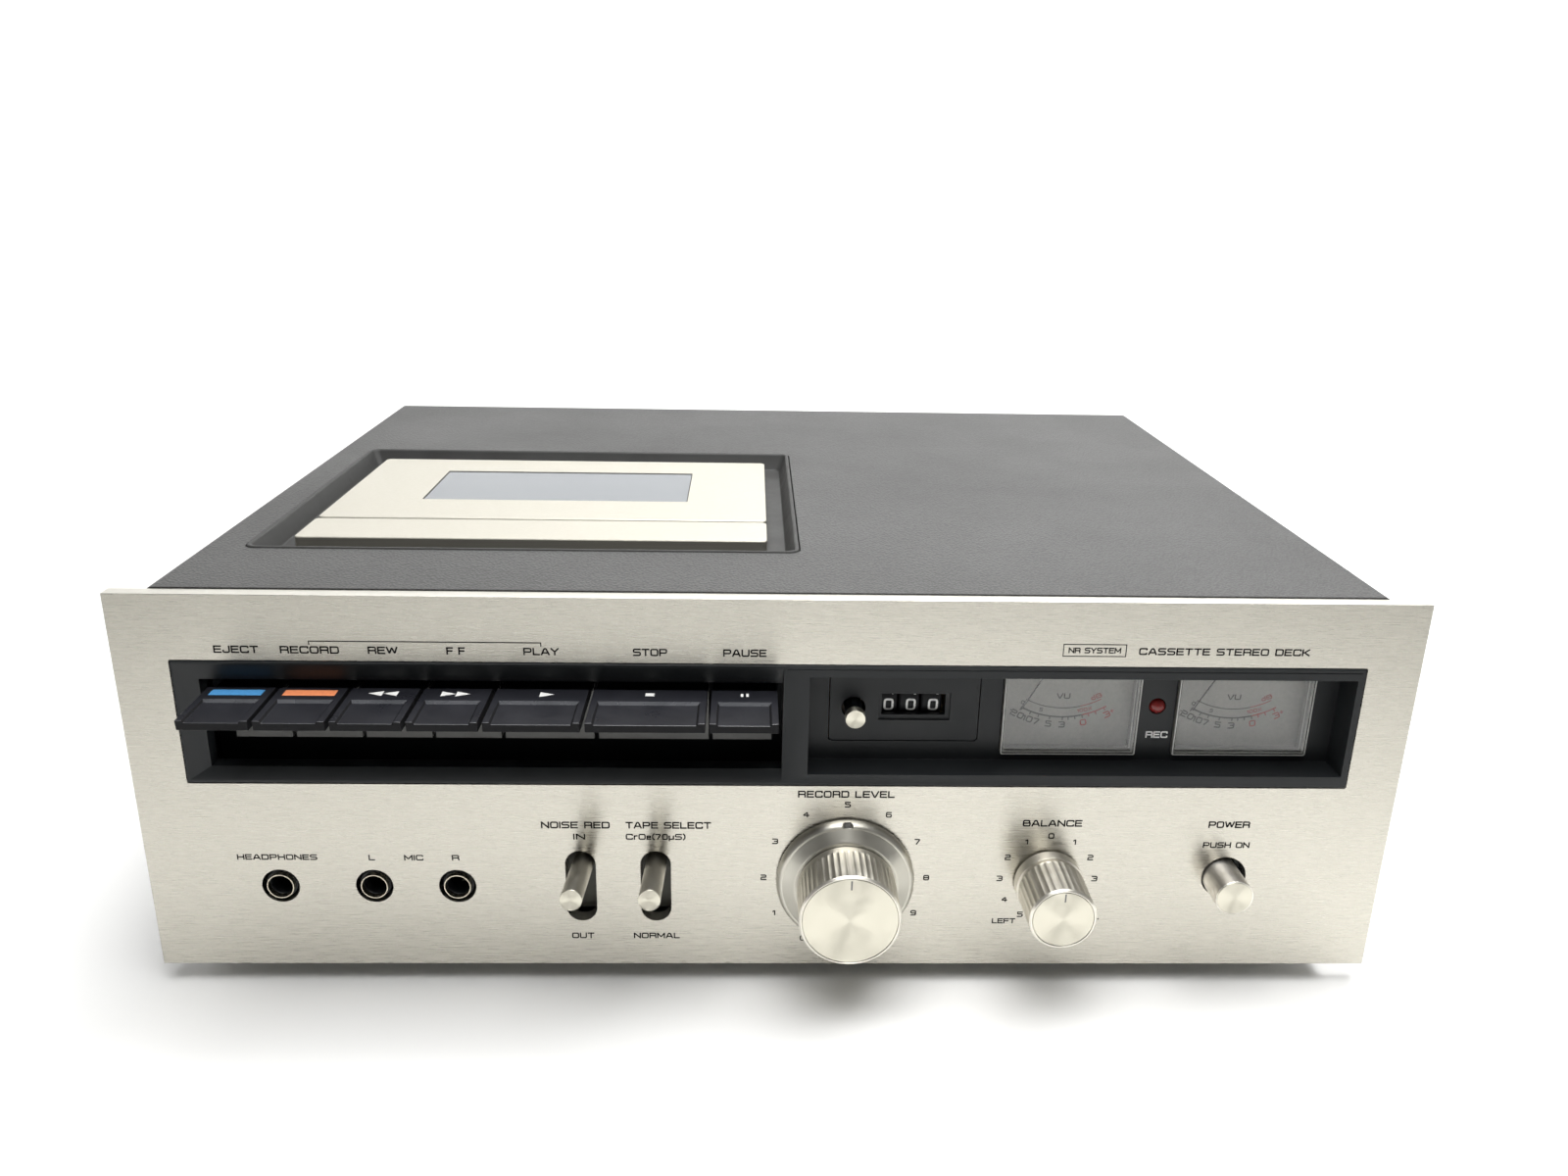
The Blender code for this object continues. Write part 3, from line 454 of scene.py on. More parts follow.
def rounded(x, y, radius, count=7):
    middles = (
        (x[1] - radius, y[1] - radius, 0.0),
        (x[0] + radius, y[1] - radius, 90.0),
        (x[0] + radius, y[0] + radius, 180.0),
        (x[1] - radius, y[0] + radius, 270.0),
    )
    points = []
    for cx, cy, start in middles:
        for i in range(count):
            turn = math.radians(start + 90.0 * i / (count - 1))
            points.append((cx + radius * math.cos(turn), cy + radius * math.sin(turn)))
    return points


def stadium(x, z, width, height, count=16):
    radius = width / 2
    rise = height / 2 - radius
    points = []
    for start, level in ((0.0, z + rise), (180.0, z - rise)):
        for i in range(count + 1):
            turn = math.radians(start + 180.0 * i / count)
            points.append((x + radius * math.cos(turn), level + radius * math.sin(turn)))
    return points


def turned(profile, centre, axis, count=64, closed=False, wave=None, bm=None):
    """A profile of (radius, place) points turned about an axis; wave(ring, turn) may add to a radius."""
    index = "xyz".index(axis)
    rings = []
    for number, (radius, along) in enumerate(profile):
        ring = []
        for i in range(count):
            turn = math.tau * i / count
            reach = max(radius, 0.004) + (wave(number, turn) if wave else 0.0)
            point = [centre[0] + reach * math.cos(turn), centre[1] + reach * math.sin(turn)]
            point.insert(index, along)
            ring.append(tuple(point))
        rings.append(ring)
    return loft(rings, closed, bm)


def inset(x, y, amount):
    return (x[0] + amount, x[1] - amount), (y[0] + amount, y[1] - amount)


def funnel(stages):
    """A tapering rectangular cutter that goes back through (depth, x span, z span) stages."""
    rings = []
    for depth, (x0, x1), (z0, z1) in stages:
        rings.append([(x0, depth, z0), (x1, depth, z0), (x1, depth, z1), (x0, depth, z1)])
    return loft(rings)


def mid_x(node):
    return middle(span(node)[0])


# Lettering: strokes on a grid one unit high, drawn as raised ink

STROKES = {
    "A": "0,0 0.5,1 0.8,1 1.3,0 | 0.2,0.3 1.1,0.3",
    "B": "0,0.52 1.12,0.52 1.12,1 0,1 0,0 1.22,0 1.22,0.5",
    "C": "1.22,0.82 1.22,1 0,1 0,0 1.22,0 1.22,0.18",
    "D": "0,0 0,1 | 0,1 1.22,1 1.22,0 0,0",
    "E": "1.1,1 0,1 | 0,1 0,0 | 0,0 1.1,0 | 0,0.52 1,0.52",
    "F": "1.1,1 0,1 | 0,1 0,0 | 0,0.5 1,0.5",
    "G": "1.22,0.78 1.22,1 0,1 0,0 1.22,0 1.22,0.46 0.68,0.46",
    "H": "0,0 0,1 | 1.22,0 1.22,1 | 0,0.52 1.22,0.52",
    "I": "0,0 0,1",
    "J": "0,0.3 0,0 1,0 1,1",
    "K": "0,0 0,1 | 1.1,1 0.3,0.5 1.15,0 | 0,0.5 0.3,0.5",
    "L": "0,1 0,0 | 0,0 1,0",
    "M": "0,0 0,1 | 0,1 0.71,0.2 1.42,1 | 1.42,1 1.42,0",
    "N": "0,0 0,1 | 0,1 1.22,0 | 1.22,0 1.22,1",
    "O": "0.6,1 1.22,1 1.22,0 0,0 0,1 0.62,1",
    "P": "0,0 0,1 | 0,1 1.22,1 1.22,0.42 0,0.42",
    "R": "0,0 0,1 | 0,1 1.22,1 1.22,0.46 0,0.46 | 1.1,0.46 1.22,0.3 1.22,0",
    "S": "1.2,1 0,1 0,0.52 1.22,0.52 1.22,0 0.02,0",
    "T": "0,1 1.16,1 | 0.58,1 0.58,0",
    "U": "0,1 0,0 1.22,0 1.22,1",
    "V": "0,1 0.55,0 0.71,0 1.26,1",
    "W": "0,1 0.4,0 0.85,1 1.3,0 1.7,1",
    "Y": "0,1 0.6,0.46 1.2,1 | 0.6,0.46 0.6,0",
    "0": "0.5,1 0.95,1 0.95,0 0,0 0,1 0.52,1",
    "1": "0,0.74 0.35,1 0.35,0",
    "2": "0.02,1 0.95,1 0.95,0.52 0,0.52 0,0 | 0,0 0.95,0",
    "3": "0,1 0.95,1 0.95,0 0,0 | 0.38,0.52 0.95,0.52",
    "4": "0.8,0 0.8,1 0,0.3 1.05,0.3",
    "5": "0.9,1 0,1 | 0,1 0,0.56 0.95,0.56 0.95,0 0,0",
    "6": "0.9,1 0,1 0,0 0.95,0 0.95,0.56 0,0.56",
    "7": "0,1 0.95,1 0.3,0",
    "8": "0.5,1 0.95,1 0.95,0 0,0 0,1 0.52,1 | 0,0.52 0.95,0.52",
    "9": "0.05,0 0.95,0 0.95,1 0,1 0,0.46 0.95,0.46",
    "+": "0,0.5 0.7,0.5 | 0.35,0.15 0.35,0.85",
    "-": "0,0.5 0.6,0.5",
    "%": "0.1,0 1,1 | 0.05,0.8 0.3,0.8 | 0.8,0.2 1.05,0.2",
    "(": "0.3,1.1 0,0.8 0,0.2 0.3,-0.1",
    ")": "0,1.1 0.3,0.8 0.3,0.2 0,-0.1",
    "r": "0,0 0,0.7 | 0,0.45 0.15,0.7 0.55,0.7",
    "m": "0,-0.3 0,0.66 | 0,0.1 0.15,0 0.6,0 0.85,0.2 | 0.85,0.66 0.85,0",
    "2s": "0,0.5 0,0.66 0.7,0.66 0.7,0.34 0,0.34 0,0 | 0,0 0.7,0",
    "d": "0.8,0 0.8,1 | 0.8,0 0,0 0,0.62 0.8,0.62",
    " ": "",
}
WIDER = {" ": 0.55, "%": 1.1}
LETTER_GAP = 0.42


def glyph(letter):
    """A letter's width and its paths, read from its line of x,y points with a bar between paths."""
    paths = []
    for text in filter(None, STROKES[letter].split("|")):
        paths.append([tuple(float(number) for number in point.split(",")) for point in text.split()])
    reach = max((x for path in paths for x, _ in path), default=0.0)
    return WIDER.get(letter, reach), paths


GLYPHS = {letter: glyph(letter) for letter in STROKES}


def softened(points, radius):
    """A path with its corners cut to short curves, apart from shallow ones."""
    points = [Vector(p) for p in points]
    path = [points[0]]
    for before, corner, after in zip(points, points[1:], points[2:]):
        to_before = before - corner
        to_after = after - corner
        reach = min(radius, to_before.length / 2, to_after.length / 2)
        start = corner + to_before.normalized() * reach
        end = corner + to_after.normalized() * reach
        for i in range(4):
            t = i / 3
            path.append(start * (1 - t) ** 2 + corner * 2 * t * (1 - t) + end * t * t)
    path.append(points[-1])
    return path


def ribbon(bm, path, half, to_frame, raise_by):
    """A flat band along a path, as a thin closed solid; to_frame(u, v, out) gives its place."""
    clean = [path[0]]
    for point in path[1:]:
        if (point - clean[-1]).length > 1e-4:
            clean.append(point)
    left, right = [], []
    for i, point in enumerate(clean):
        before = (point - clean[i - 1]).normalized() if i else None
        after = (clean[i + 1] - point).normalized() if i + 1 < len(clean) else None
        heading = ((before or after) + (after or before)).normalized()
        side = Vector((-heading.y, heading.x))
        along = before or after
        lean = max(0.5, side.dot(Vector((-along.y, along.x))))
        shift = Vector((0.0, 0.0))
        if before is None:
            shift = -after * half * 0.9
        if after is None:
            shift = before * half * 0.9
        left.append(point + shift + side * half / lean)
        right.append(point + shift - side * half / lean)
    outline = left + right[::-1]
    low = [bm.verts.new(to_frame(p.x, p.y, 0.0)) for p in outline]
    high = [bm.verts.new(to_frame(p.x, p.y, raise_by)) for p in outline]
    count = len(outline)
    for i in range(count):
        j = (i + 1) % count
        bm.faces.new((low[i], low[j], high[j], high[i]))
    half_count = len(left)
    for i in range(half_count - 1):
        k = count - 1 - i
        bm.faces.new((high[i], high[i + 1], high[k - 1], high[k]))
        bm.faces.new((low[k], low[k - 1], low[i + 1], low[i]))


def text_width(text):
    """The width of a line's strokes, middle to middle, for letters one unit high."""
    return sum(GLYPHS[letter][0] for letter in text) + LETTER_GAP * (len(text) - 1)


def write(bm, text, u, v, height, to_frame, width=None, weight=0.2, turn=0.0, soft=0.26):
    """Adds a line of letters centred on (u, v). Height and width go to the outsides of the strokes."""
    stroke = weight * height
    size = height - stroke
    spread = text_width(text) * size
    squeeze = 1.0 if width is None else (width - stroke) / spread
    cursor = -spread / 2
    spin = Matrix.Rotation(math.radians(turn), 2)
    for letter in text:
        step, strokes = GLYPHS[letter]
        for path in strokes:
            placed = []
            for px, py in softened(path, soft):
                local = Vector(((cursor + px * size) * squeeze, (py - 0.5) * size))
                placed.append(spin @ local + Vector((u, v)))
            ribbon(bm, placed, stroke / 2, to_frame, INK_RAISE)
        cursor += (step + LETTER_GAP) * size


def loose(bm, name, material, body="deck", pivot=(0.0, 0.0, 0.0)):
    """A piece made of many thin solids, flat shaded."""
    made = placed(bm, name, pivot)
    made.data.materials.append(material)
    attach(made, body)


def on_panel(y):
    """Places for ink that faces the front, on a plane y back from the panel's face."""
    return lambda u, v, out: (u, y - out, v)


# Front panel

JACKS = ("headphone_jack", "left_microphone_jack", "right_microphone_jack")
LEVERS = ("noise_reduction_lever", "tape_select_lever")
KEYS = ("eject_key", "record_key", "rewind_key", "fast_forward_key", "play_key", "stop_key", "pause_key")
JACK_HOLE_R, POWER_HOLE_R = 6.1, 7.45
SLOT_W, SLOT_H, SLOT_Z = 10.0, 26.6, 29.9
SLOT_SHIFT = {"noise_reduction_lever": -0.5, "tape_select_lever": 0.0}
SHAFT_HOLES = {"level_control": 6.0, "balance_control": 5.5}
POWER_NUDGE, POWER_REACH = (-0.5, 0.3), 2.1
BEZEL_Z = (68.0, 110.0)
BEZEL_HALF = 187.5


def centre(node):
    x, _, z = span(node)
    return middle(x), middle(z)


def power_centre():
    x, z = centre("power_button")
    return x + POWER_NUDGE[0], z + POWER_NUDGE[1]


def front_panel():
    x, y, z = span("front_panel")
    outline = [(x[0], z[0]), (x[1], z[0]), (x[1], z[1]), (x[0], z[1])]
    panel = raw(drawn(outline, y, "y"))
    through = (-2.0, PANEL_BACK + 2.0)
    half = BEZEL_HALF + 0.3
    cutters = [drawn(rounded((-half, half), (BEZEL_Z[0] - 0.3, BEZEL_Z[1] + 0.3), 0.6), through, "y")]
    for node in JACKS:
        cutters.append(drawn(circle(centre(node), JACK_HOLE_R, 56), through, "y"))
    for node in LEVERS:
        slot_x = mid_x(node) + SLOT_SHIFT[node]
        cutters.append(drawn(stadium(slot_x, SLOT_Z, SLOT_W, SLOT_H), through, "y"))
    for node, radius in SHAFT_HOLES.items():
        cutters.append(drawn(circle(centre(node), radius), through, "y"))
    power_x, power_z = power_centre()
    cutters.append(drawn(circle((power_x + 0.7, power_z + 0.3), POWER_HOLE_R, 64), through, "y"))
    carve(panel, *[raw(cutter) for cutter in cutters])
    dress(panel, BRUSHED, "deck", 0.28, ("front_panel",), name="brushed_front_panel")
    # Faces that look up get the lighter metal: a painted highlight
    refinish(panel, PANEL_TOP_HIGHLIGHT, lambda face: face.normal.z > 0.6)


KEY_WORDS = ("EJECT", "RECORD", "REW", "F F", "PLAY", "STOP", "PAUSE")
KEY_WORD_WIDTHS = (13.7, 18.1, 9.2, 5.8, 11.0, 10.7, 13.6)
KEY_WORD_Z = 114.0
HEADING, WORD, SMALL = 2.5, 2.2, 2.1


def line(bm, points, half, to_frame):
    ribbon(bm, [Vector(point) for point in points], half, to_frame, INK_RAISE)


def panel_markings():
    """All the black lettering on the panel, as one layer of ink."""
    bm = bmesh.new()
    ink = on_panel(0.0)
    key_x = [mid_x(node) for node in KEYS]
    for word, x, width in zip(KEY_WORDS, key_x, KEY_WORD_WIDTHS):
        write(bm, word, x, KEY_WORD_Z, HEADING, ink, width)
    bracket_z = 116.9
    record_x, play_x = key_x[1], key_x[4]
    line(bm, ((record_x, bracket_z), (play_x, bracket_z)), 0.17, ink)
    for x in (record_x, play_x):
        line(bm, ((x, bracket_z), (x, bracket_z - 1.1)), 0.17, ink)
    write(bm, "CASSETTE STEREO DECK", 141.0, 115.6, 2.4, ink, 54.4)
    mark_x, mark_z = 99.8, 115.8
    half_x, half_z = 9.9, 2.0
    corners = [(mark_x + i * half_x, mark_z + j * half_z) for i, j in ((-1, -1), (1, -1), (1, 1), (-1, 1))]
    for ends in zip(corners, corners[1:] + corners[:1]):
        line(bm, ends, 0.15, ink)
    write(bm, "NR SYSTEM", mark_x, mark_z, 1.9, ink, 16.6)
    head_x = mid_x("headphone_jack")
    left_x, right_x = mid_x("left_microphone_jack"), mid_x("right_microphone_jack")
    noise_x, tape_x = [mid_x(node) for node in LEVERS]
    power_x, _ = power_centre()
    chrome = ("C", "r", "O", "2s", "(", "7", "0", "m", "S", ")")
    words = (
        ("HEADPHONES", head_x, 40.7, SMALL, 26.0),
        ("L", left_x, 40.6, SMALL, None),
        ("R", right_x, 40.6, SMALL, None),
        ("MIC", middle((left_x, right_x)), 40.6, SMALL, 6.3),
        ("NOISE RED", noise_x - 1.6, 53.0, HEADING, 22.4),
        ("IN", noise_x - 0.5, 48.7, WORD, 3.9),
        ("OUT", noise_x - 0.5, 10.7, WORD, 7.5),
        ("TAPE SELECT", tape_x + 4.4, 53.0, HEADING, 28.0),
        (chrome, tape_x + 0.2, 48.7, WORD, 19.6),
        ("NORMAL", tape_x, 10.7, WORD, 15.5),
        ("POWER", power_x, 54.0, HEADING, 13.9),
        ("PUSH ON", power_x, 46.3, WORD, 15.7),
    )
    for text, x, z, height, width in words:
        write(bm, text, x, z, height, ink, width)
    dial_numbers(bm, ink)
    loose(bm, "panel_markings", INK)


def dial_numbers(bm, ink):
    x, z = centre("level_control")
    write(bm, "RECORD LEVEL", x - 0.6, 64.7, HEADING, ink, 31.6)
    for number in range(11):
        turn = math.radians(30.0 * (number - 5))
        write(bm, str(number), x + 27.2 * math.sin(turn), z + 0.6 + 27.4 * math.cos(turn), SMALL, ink)
    x, z = centre("balance_control")
    write(bm, "BALANCE", x, 54.3, HEADING, ink, 19.8)
    for number in range(6):
        for side in (-1, 1) if number else (1,):
            turn = math.radians(30.0 * number * side)
            write(bm, str(number), x + 16.0 * math.sin(turn), z + 0.3 + 16.2 * math.cos(turn), SMALL, ink)
    write(bm, "LEFT", x - 13.4, 16.7, 2.0, ink, 8.0)
    write(bm, "RIGHT", x + 14.0, 16.7, 2.0, ink, 10.2)


# Control bezel

OPENING_X, OPENING_Z, OPENING_DEPTH = (-180.2, 2.3), (72.9, 103.1), 2.0
RECESS_X, RECESS_Z = (10.6, 185.2), (72.0, 106.0)


def control_bezel():
    x, y, z = span("control_bezel")
    front = y[0]
    flange_back = PANEL_BACK + 2.0
    board_front, board_back = y[1] - 2.0, y[1]
    bezel = raw(block((-BEZEL_HALF, BEZEL_HALF), (front, flange_back), BEZEL_Z))
    bevelled(bezel, 0.4)
    wall_x, wall_z = inset(RECESS_X, RECESS_Z, -1.5)
    flange = raw(block(x, (PANEL_BACK + 0.3, flange_back), z))
    fuse(bezel, flange, raw(block(wall_x, (1.0, board_back), wall_z)))
    rim = 1.2
    rim_x = (-BEZEL_HALF + rim, OPENING_X[1])
    rim_z = (BEZEL_Z[0] + rim, BEZEL_Z[1] - rim)
    stages = (
        (front - 1.0, rim_x, rim_z),
        (front, rim_x, rim_z),
        (OPENING_DEPTH, OPENING_X, OPENING_Z),
        (flange_back + 1.0, OPENING_X, OPENING_Z),
    )
    groove_x, groove_z = (OPENING_X[1] + 1.0, BEZEL_HALF - rim), (rim_z[1] - 0.3, rim_z[1])
    cutters = [
        funnel(stages),
        block(RECESS_X, (front - 1.0, board_front), RECESS_Z),
        block(groove_x, (front - 1.0, front + 0.25), groove_z),
    ]
    through = (board_front - 1.0, board_back + 1.0)
    for side in ("left", "right"):
        meter_x, meter_z = meter_place(side)
        cutters.append(drawn(rounded(*inset(meter_x, meter_z, -0.3), 0.8), through, "y"))
    counter_x, _, counter_z = span("counter_housing")
    cutters.append(drawn(rounded(*inset(counter_x, counter_z, -0.25), 1.4), through, "y"))
    cutters.append(drawn(circle(centre("record_lamp"), 2.8, 32), through, "y"))
    carve(bezel, *[raw(cutter) for cutter in cutters])
    dress(bezel, BLACK, "deck", 0.15, ("control_bezel",), name="bezel_moulding")
    bm = bmesh.new()
    write(bm, "REC", 126.8, 81.5, 2.4, on_panel(board_front), 7.4)
    loose(bm, "record_mark", INK_WHITE)


# Counter

COUNTER_PLATE = 2.0
WINDOW_X, WINDOW_Z = (35.0, 55.9), (87.9, 95.2)
WINDOW_EDGE_X, WINDOW_EDGE_Z = (34.1, 57.4), (86.3, 95.9)
WHEELS = ("hundreds_wheel", "tens_wheel", "units_wheel")


def counter():
    x, y, z = span("counter_housing")
    front, back = y[0], y[0] + COUNTER_PLATE
    plate = raw(drawn(rounded(x, z, 1.2), (front, back), "y"))
    window = (
        (front - 1.0, WINDOW_EDGE_X, WINDOW_EDGE_Z),
        (front, WINDOW_EDGE_X, WINDOW_EDGE_Z),
        (front + 0.8, WINDOW_EDGE_X, WINDOW_EDGE_Z),
        (front + 0.9, WINDOW_X, WINDOW_Z),
        (back + 1.0, WINDOW_X, WINDOW_Z),
    )
    hole = raw(drawn(circle(centre("counter_reset_button"), 3.9, 40), (front - 1.0, back + 1.0), "y"))
    carve(plate, raw(funnel(window)), hole)
    cage = ((31.0, 32.5), (60.0, 61.5))
    for side in cage:
        fuse(plate, raw(block(side, (back - 0.5, y[1]), (z[0] + 1.1, z[1] - 2.5))))
    tunnel = raw(block((31.5, 61.0), (back - 0.4, back + 0.8), (z[0] + 1.5, z[1] - 3.0)))
    carve(tunnel, raw(block(WINDOW_X, (back - 3.0, back + 3.0), WINDOW_Z)))
    fuse(plate, tunnel)
    _, wheel_y, wheel_z = [middle(pair) for pair in span(WHEELS[0])]
    fuse(plate, raw(turned(((1.2, cage[0][0] + 0.2), (1.2, cage[1][1] - 0.2)), (wheel_y, wheel_z), "x", 24)))
    dress(plate, BLACK, "deck", 0.15, ("counter_housing",), name="counter_plate")
    for node in WHEELS:
        counter_wheel(node)
    reset_button()


def counter_wheel(node):
    x, y, z = span(node)
    hub = [middle(pair) for pair in (x, y, z)]
    radius = (y[1] - y[0]) / 2
    profile = ((1.3, x[0]), (radius - 0.5, x[0]), (radius, x[0] + 0.5), (radius, x[1] - 0.5))
    profile += ((radius - 0.5, x[1]), (1.3, x[1]))
    wheel = turned(profile, hub[1:], "x", 60, closed=True)
    # The drum is in the darkest black: painted shade in the counter's window
    finished(wheel, f"{node}_drum", BLACK_PAINTED_SHADE, hub, node, stands_for=(node,))
    bm = bmesh.new()
    front_turn = math.radians(187.5)
    for digit in range(10):
        turn = front_turn - math.tau * digit / 10

        def wrap(u, v, out, turn=turn):
            angle = turn - v / radius
            reach = radius + out
            return (hub[0] + u, hub[1] + reach * math.cos(angle), hub[2] + reach * math.sin(angle))

        write(bm, str(digit), 0.5, 0.1, 4.4, wrap, 3.3, 0.16, soft=0.3)
    loose(bm, f"{node}_digits", INK_WHITE, node, hub)


def reset_button():
    node = "counter_reset_button"
    x, z = centre(node)
    front, back = span(node)[1]
    hub = (x, front, z)
    shaft = turned(((2.85, front + 3.0), (2.85, back)), (x, z), "y", 40)
    finished(shaft, "reset_shaft", BLACK, hub, node)
    profile = ((0.0, 0.1), (2.75, 0.1), (3.1, 0.0), (3.25, 0.3), (3.25, 3.2), (2.0, 3.2))
    cap = turned([(radius, front + depth) for radius, depth in profile], (x, z), "y")
    finished(cap, "reset_cap", SPUN, hub, node, stands_for=(node,))


# Meters

DIAL_Y = 17.0
GLASS_Y = (9.25, 10.7)
METER_TRIM = (0.5, 1.3)
NEEDLE_PIVOT_Z = 114.2
NEEDLE_OFFSET = 21.7
NEEDLE_LENGTH = 29.2
NEEDLE_REST = 28.8
ARC_OUTER, ARC_INNER, NUMBER_R, SMALL_R = 29.0, 25.75, 31.8, 27.3
SCALE_END = 29.8
SCALE = (
    ("20", -28.1),
    ("10", -21.1),
    ("7", -15.3),
    ("5", -7.7),
    ("3", 0.6),
    (None, 4.4),
    (None, 8.7),
    ("0", 13.5),
    (None, 17.7),
    (None, 22.4),
    ("3", 28.4),
)
ZERO = 13.5


def meter_place(side):
    """The x and z spans of a meter's frame, a little inside its solid."""
    x, _, z = span(f"{side}_meter_cover")
    return (x[0] + METER_TRIM[0], x[1] - METER_TRIM[1]), z


def meter(side):
    _, y, z = span(f"{side}_meter_case")
    cover_x, cover_z = meter_place(side)
    out_x, out_z = (cover_x[0] - 0.5, cover_x[1] + 0.5), (cover_z[0] - 0.5, z[1])
    room_x, room_z = inset(out_x, out_z, 0.8)
    case = raw(block(out_x, y, out_z))
    carve(case, raw(block(room_x, (y[0] - 2.0, DIAL_Y + 0.4), room_z)))
    dress(case, FRAME_GREY, "deck", 0.2, (f"{side}_meter_case",), name=f"{side}_meter_body")
    card = block((out_x[0] + 0.9, out_x[1] - 0.9), (DIAL_Y, DIAL_Y + 0.35), (cover_z[0] + 0.4, z[1] - 0.9))
    finished(card, f"{side}_dial_card", DIAL)
    pivot_x = span(f"{side}_meter_cover")[0][0] + NEEDLE_OFFSET
    meter_scale(side, pivot_x)
    needle(side, pivot_x)
    meter_frame(side, cover_x, cover_z)
    glass_x, glass_z = inset(cover_x, cover_z, 0.5)
    glass = raw(block(glass_x, GLASS_Y, glass_z))
    dress(glass, ACRYLIC, "deck", 0.3, (f"{side}_meter_cover",), name=f"{side}_meter_glass")


def meter_frame(side, x, z):
    """A stepped frame round the dial, whose thin outer lip holds the clear cover; its step walls carry
    painted shade.
    """
    steps = (
        (0.0, 13.2),
        (0.0, 9.6),
        (0.12, 9.5),
        (0.42, 9.5),
        (0.42, 10.8),
        (1.1, 10.8),
        (1.15, 12.2),
        (1.5, 12.3),
        (1.6, 14.7),
        (0.7, 14.7),
        (0.7, 13.2),
    )
    rings = [[(px, depth, pz) for px, pz in rounded(*inset(x, z, amount), 0.6, 4)] for amount, depth in steps]
    frame = finished(loft(rings, closed=True), f"{side}_meter_frame", FRAME_GREY)
    # The step walls get the darker grey: painted shade
    refinish(frame, FRAME_PAINTED_SHADE, lambda face: abs(face.normal.y) < 0.5)


def needle(side, pivot_x):
    """The thin blade hangs from its pivot and leans to the left end of the scale."""
    body = f"{side}_meter_needle"
    hub = (pivot_x, middle(span(body)[1]), NEEDLE_PIVOT_Z)
    blade = [(-0.2, 3.5), (0.2, 3.5), (0.16, -NEEDLE_LENGTH), (-0.16, -NEEDLE_LENGTH)]
    bm = drawn(blade, (-0.15, 0.15), "y")
    turned(((1.9, -0.7), (1.9, 0.7)), (0.0, 0.0), "y", 24, bm=bm)
    lean = Matrix.Rotation(math.radians(NEEDLE_REST), 3, "Y")
    bmesh.ops.rotate(bm, cent=(0, 0, 0), matrix=lean, verts=bm.verts)
    bmesh.ops.translate(bm, vec=hub, verts=bm.verts)
    finished(bm, f"{side}_needle_blade", INK, hub, body, stands_for=(body,))


def on_arc(pivot_x, radius, degrees):
    """A point on a circle about the needle's pivot, in degrees from straight down."""
    turn = math.radians(degrees)
    return Vector((pivot_x + radius * math.sin(turn), NEEDLE_PIVOT_Z - radius * math.cos(turn)))


def arc_path(pivot_x, radius, start, end, steps=24):
    return [on_arc(pivot_x, radius, start + (end - start) * i / steps) for i in range(steps + 1)]


def meter_scale(side, pivot_x):
    black, red = bmesh.new(), bmesh.new()
    ink = on_panel(DIAL_Y)
    first = SCALE[0][1]
    ribbon(black, arc_path(pivot_x, ARC_OUTER, first, ZERO), 0.27, ink, INK_RAISE)
    ribbon(red, arc_path(pivot_x, ARC_OUTER, ZERO, SCALE_END), 0.24, ink, INK_RAISE)
    ribbon(black, arc_path(pivot_x, ARC_INNER, first, ZERO), 0.17, ink, INK_RAISE)
    ribbon(red, arc_path(pivot_x, ARC_INNER, ZERO, SCALE_END - 0.6), 0.15, ink, INK_RAISE)
    ribbon(black, [on_arc(pivot_x, ARC_INNER, first), on_arc(pivot_x, ARC_OUTER, first)], 0.1, ink, INK_RAISE)
    for number, degrees in SCALE:
        bm = red if degrees > ZERO else black
        ends = [on_arc(pivot_x, radius, degrees) for radius in (ARC_OUTER, ARC_OUTER + 1.0)]
        ribbon(bm, ends, 0.2, ink, INK_RAISE)
        if number:
            bm = red if degrees >= ZERO else black
            place = on_arc(pivot_x, NUMBER_R, degrees)
            write(bm, number, place.x, place.y, 2.3, ink, weight=0.2, turn=degrees * 0.9)
    marks = (
        (black, "-", -32.6, 31.6, 1.6),
        (red, "+", 32.0, 31.5, 1.8),
        (black, "0", -29.4, SMALL_R, 1.3),
        (black, "5", -15.0, SMALL_R, 1.3),
        (red, "100%", 15.9, SMALL_R, 1.3),
        (red, "dB", 27.0, 24.15, 1.7),
    )
    for bm, text, degrees, radius, height in marks:
        place = on_arc(pivot_x, radius, degrees)
        write(bm, text, place.x, place.y, height, ink, turn=degrees * 0.8)
    write(black, "VU", pivot_x, 92.8, 2.0, ink, 4.6)
    loose(black, f"{side}_scale_black", INK)
    loose(red, f"{side}_scale_red", INK_RED)


def record_lamp():
    x, z = centre("record_lamp")
    _, y, _ = span("record_lamp")
    radius, rise = 2.66, 2.2
    profile = []
    for i in range(10):
        turn = math.radians(10.0 * i)
        profile.append((radius * math.sin(turn), y[0] + rise * (1 - math.cos(turn))))
    profile += [(radius, y[0] + 4.0), (radius - 0.3, y[0] + 4.2)]
    finished(turned(profile, (x, z), "y"), "lamp_lens", LAMP_RED, stands_for=("record_lamp",))
    socket = turned(((2.6, 13.8), (3.6, 13.8), (3.6, y[1]), (2.6, y[1])), (x, z), "y", closed=True)
    finished(socket, "lamp_holder", BLACK)


# Keys


KEY_FRONT_TOP, KEY_LIP_BOTTOM = 100.7, 97.4


# Faces that lean up and forward, where the keys' edges and the scoop's rear catch the overhead light; they
# get a painted highlight
def on_worn_edge(face):
    return face.normal.y < -0.25 and face.normal.z > 0.3 and abs(face.normal.x) < 0.4


# Front faces and sides of the keys, which get painted shade
def on_key_side(face):
    return face.normal.y < -0.85 or abs(face.normal.x) > 0.4


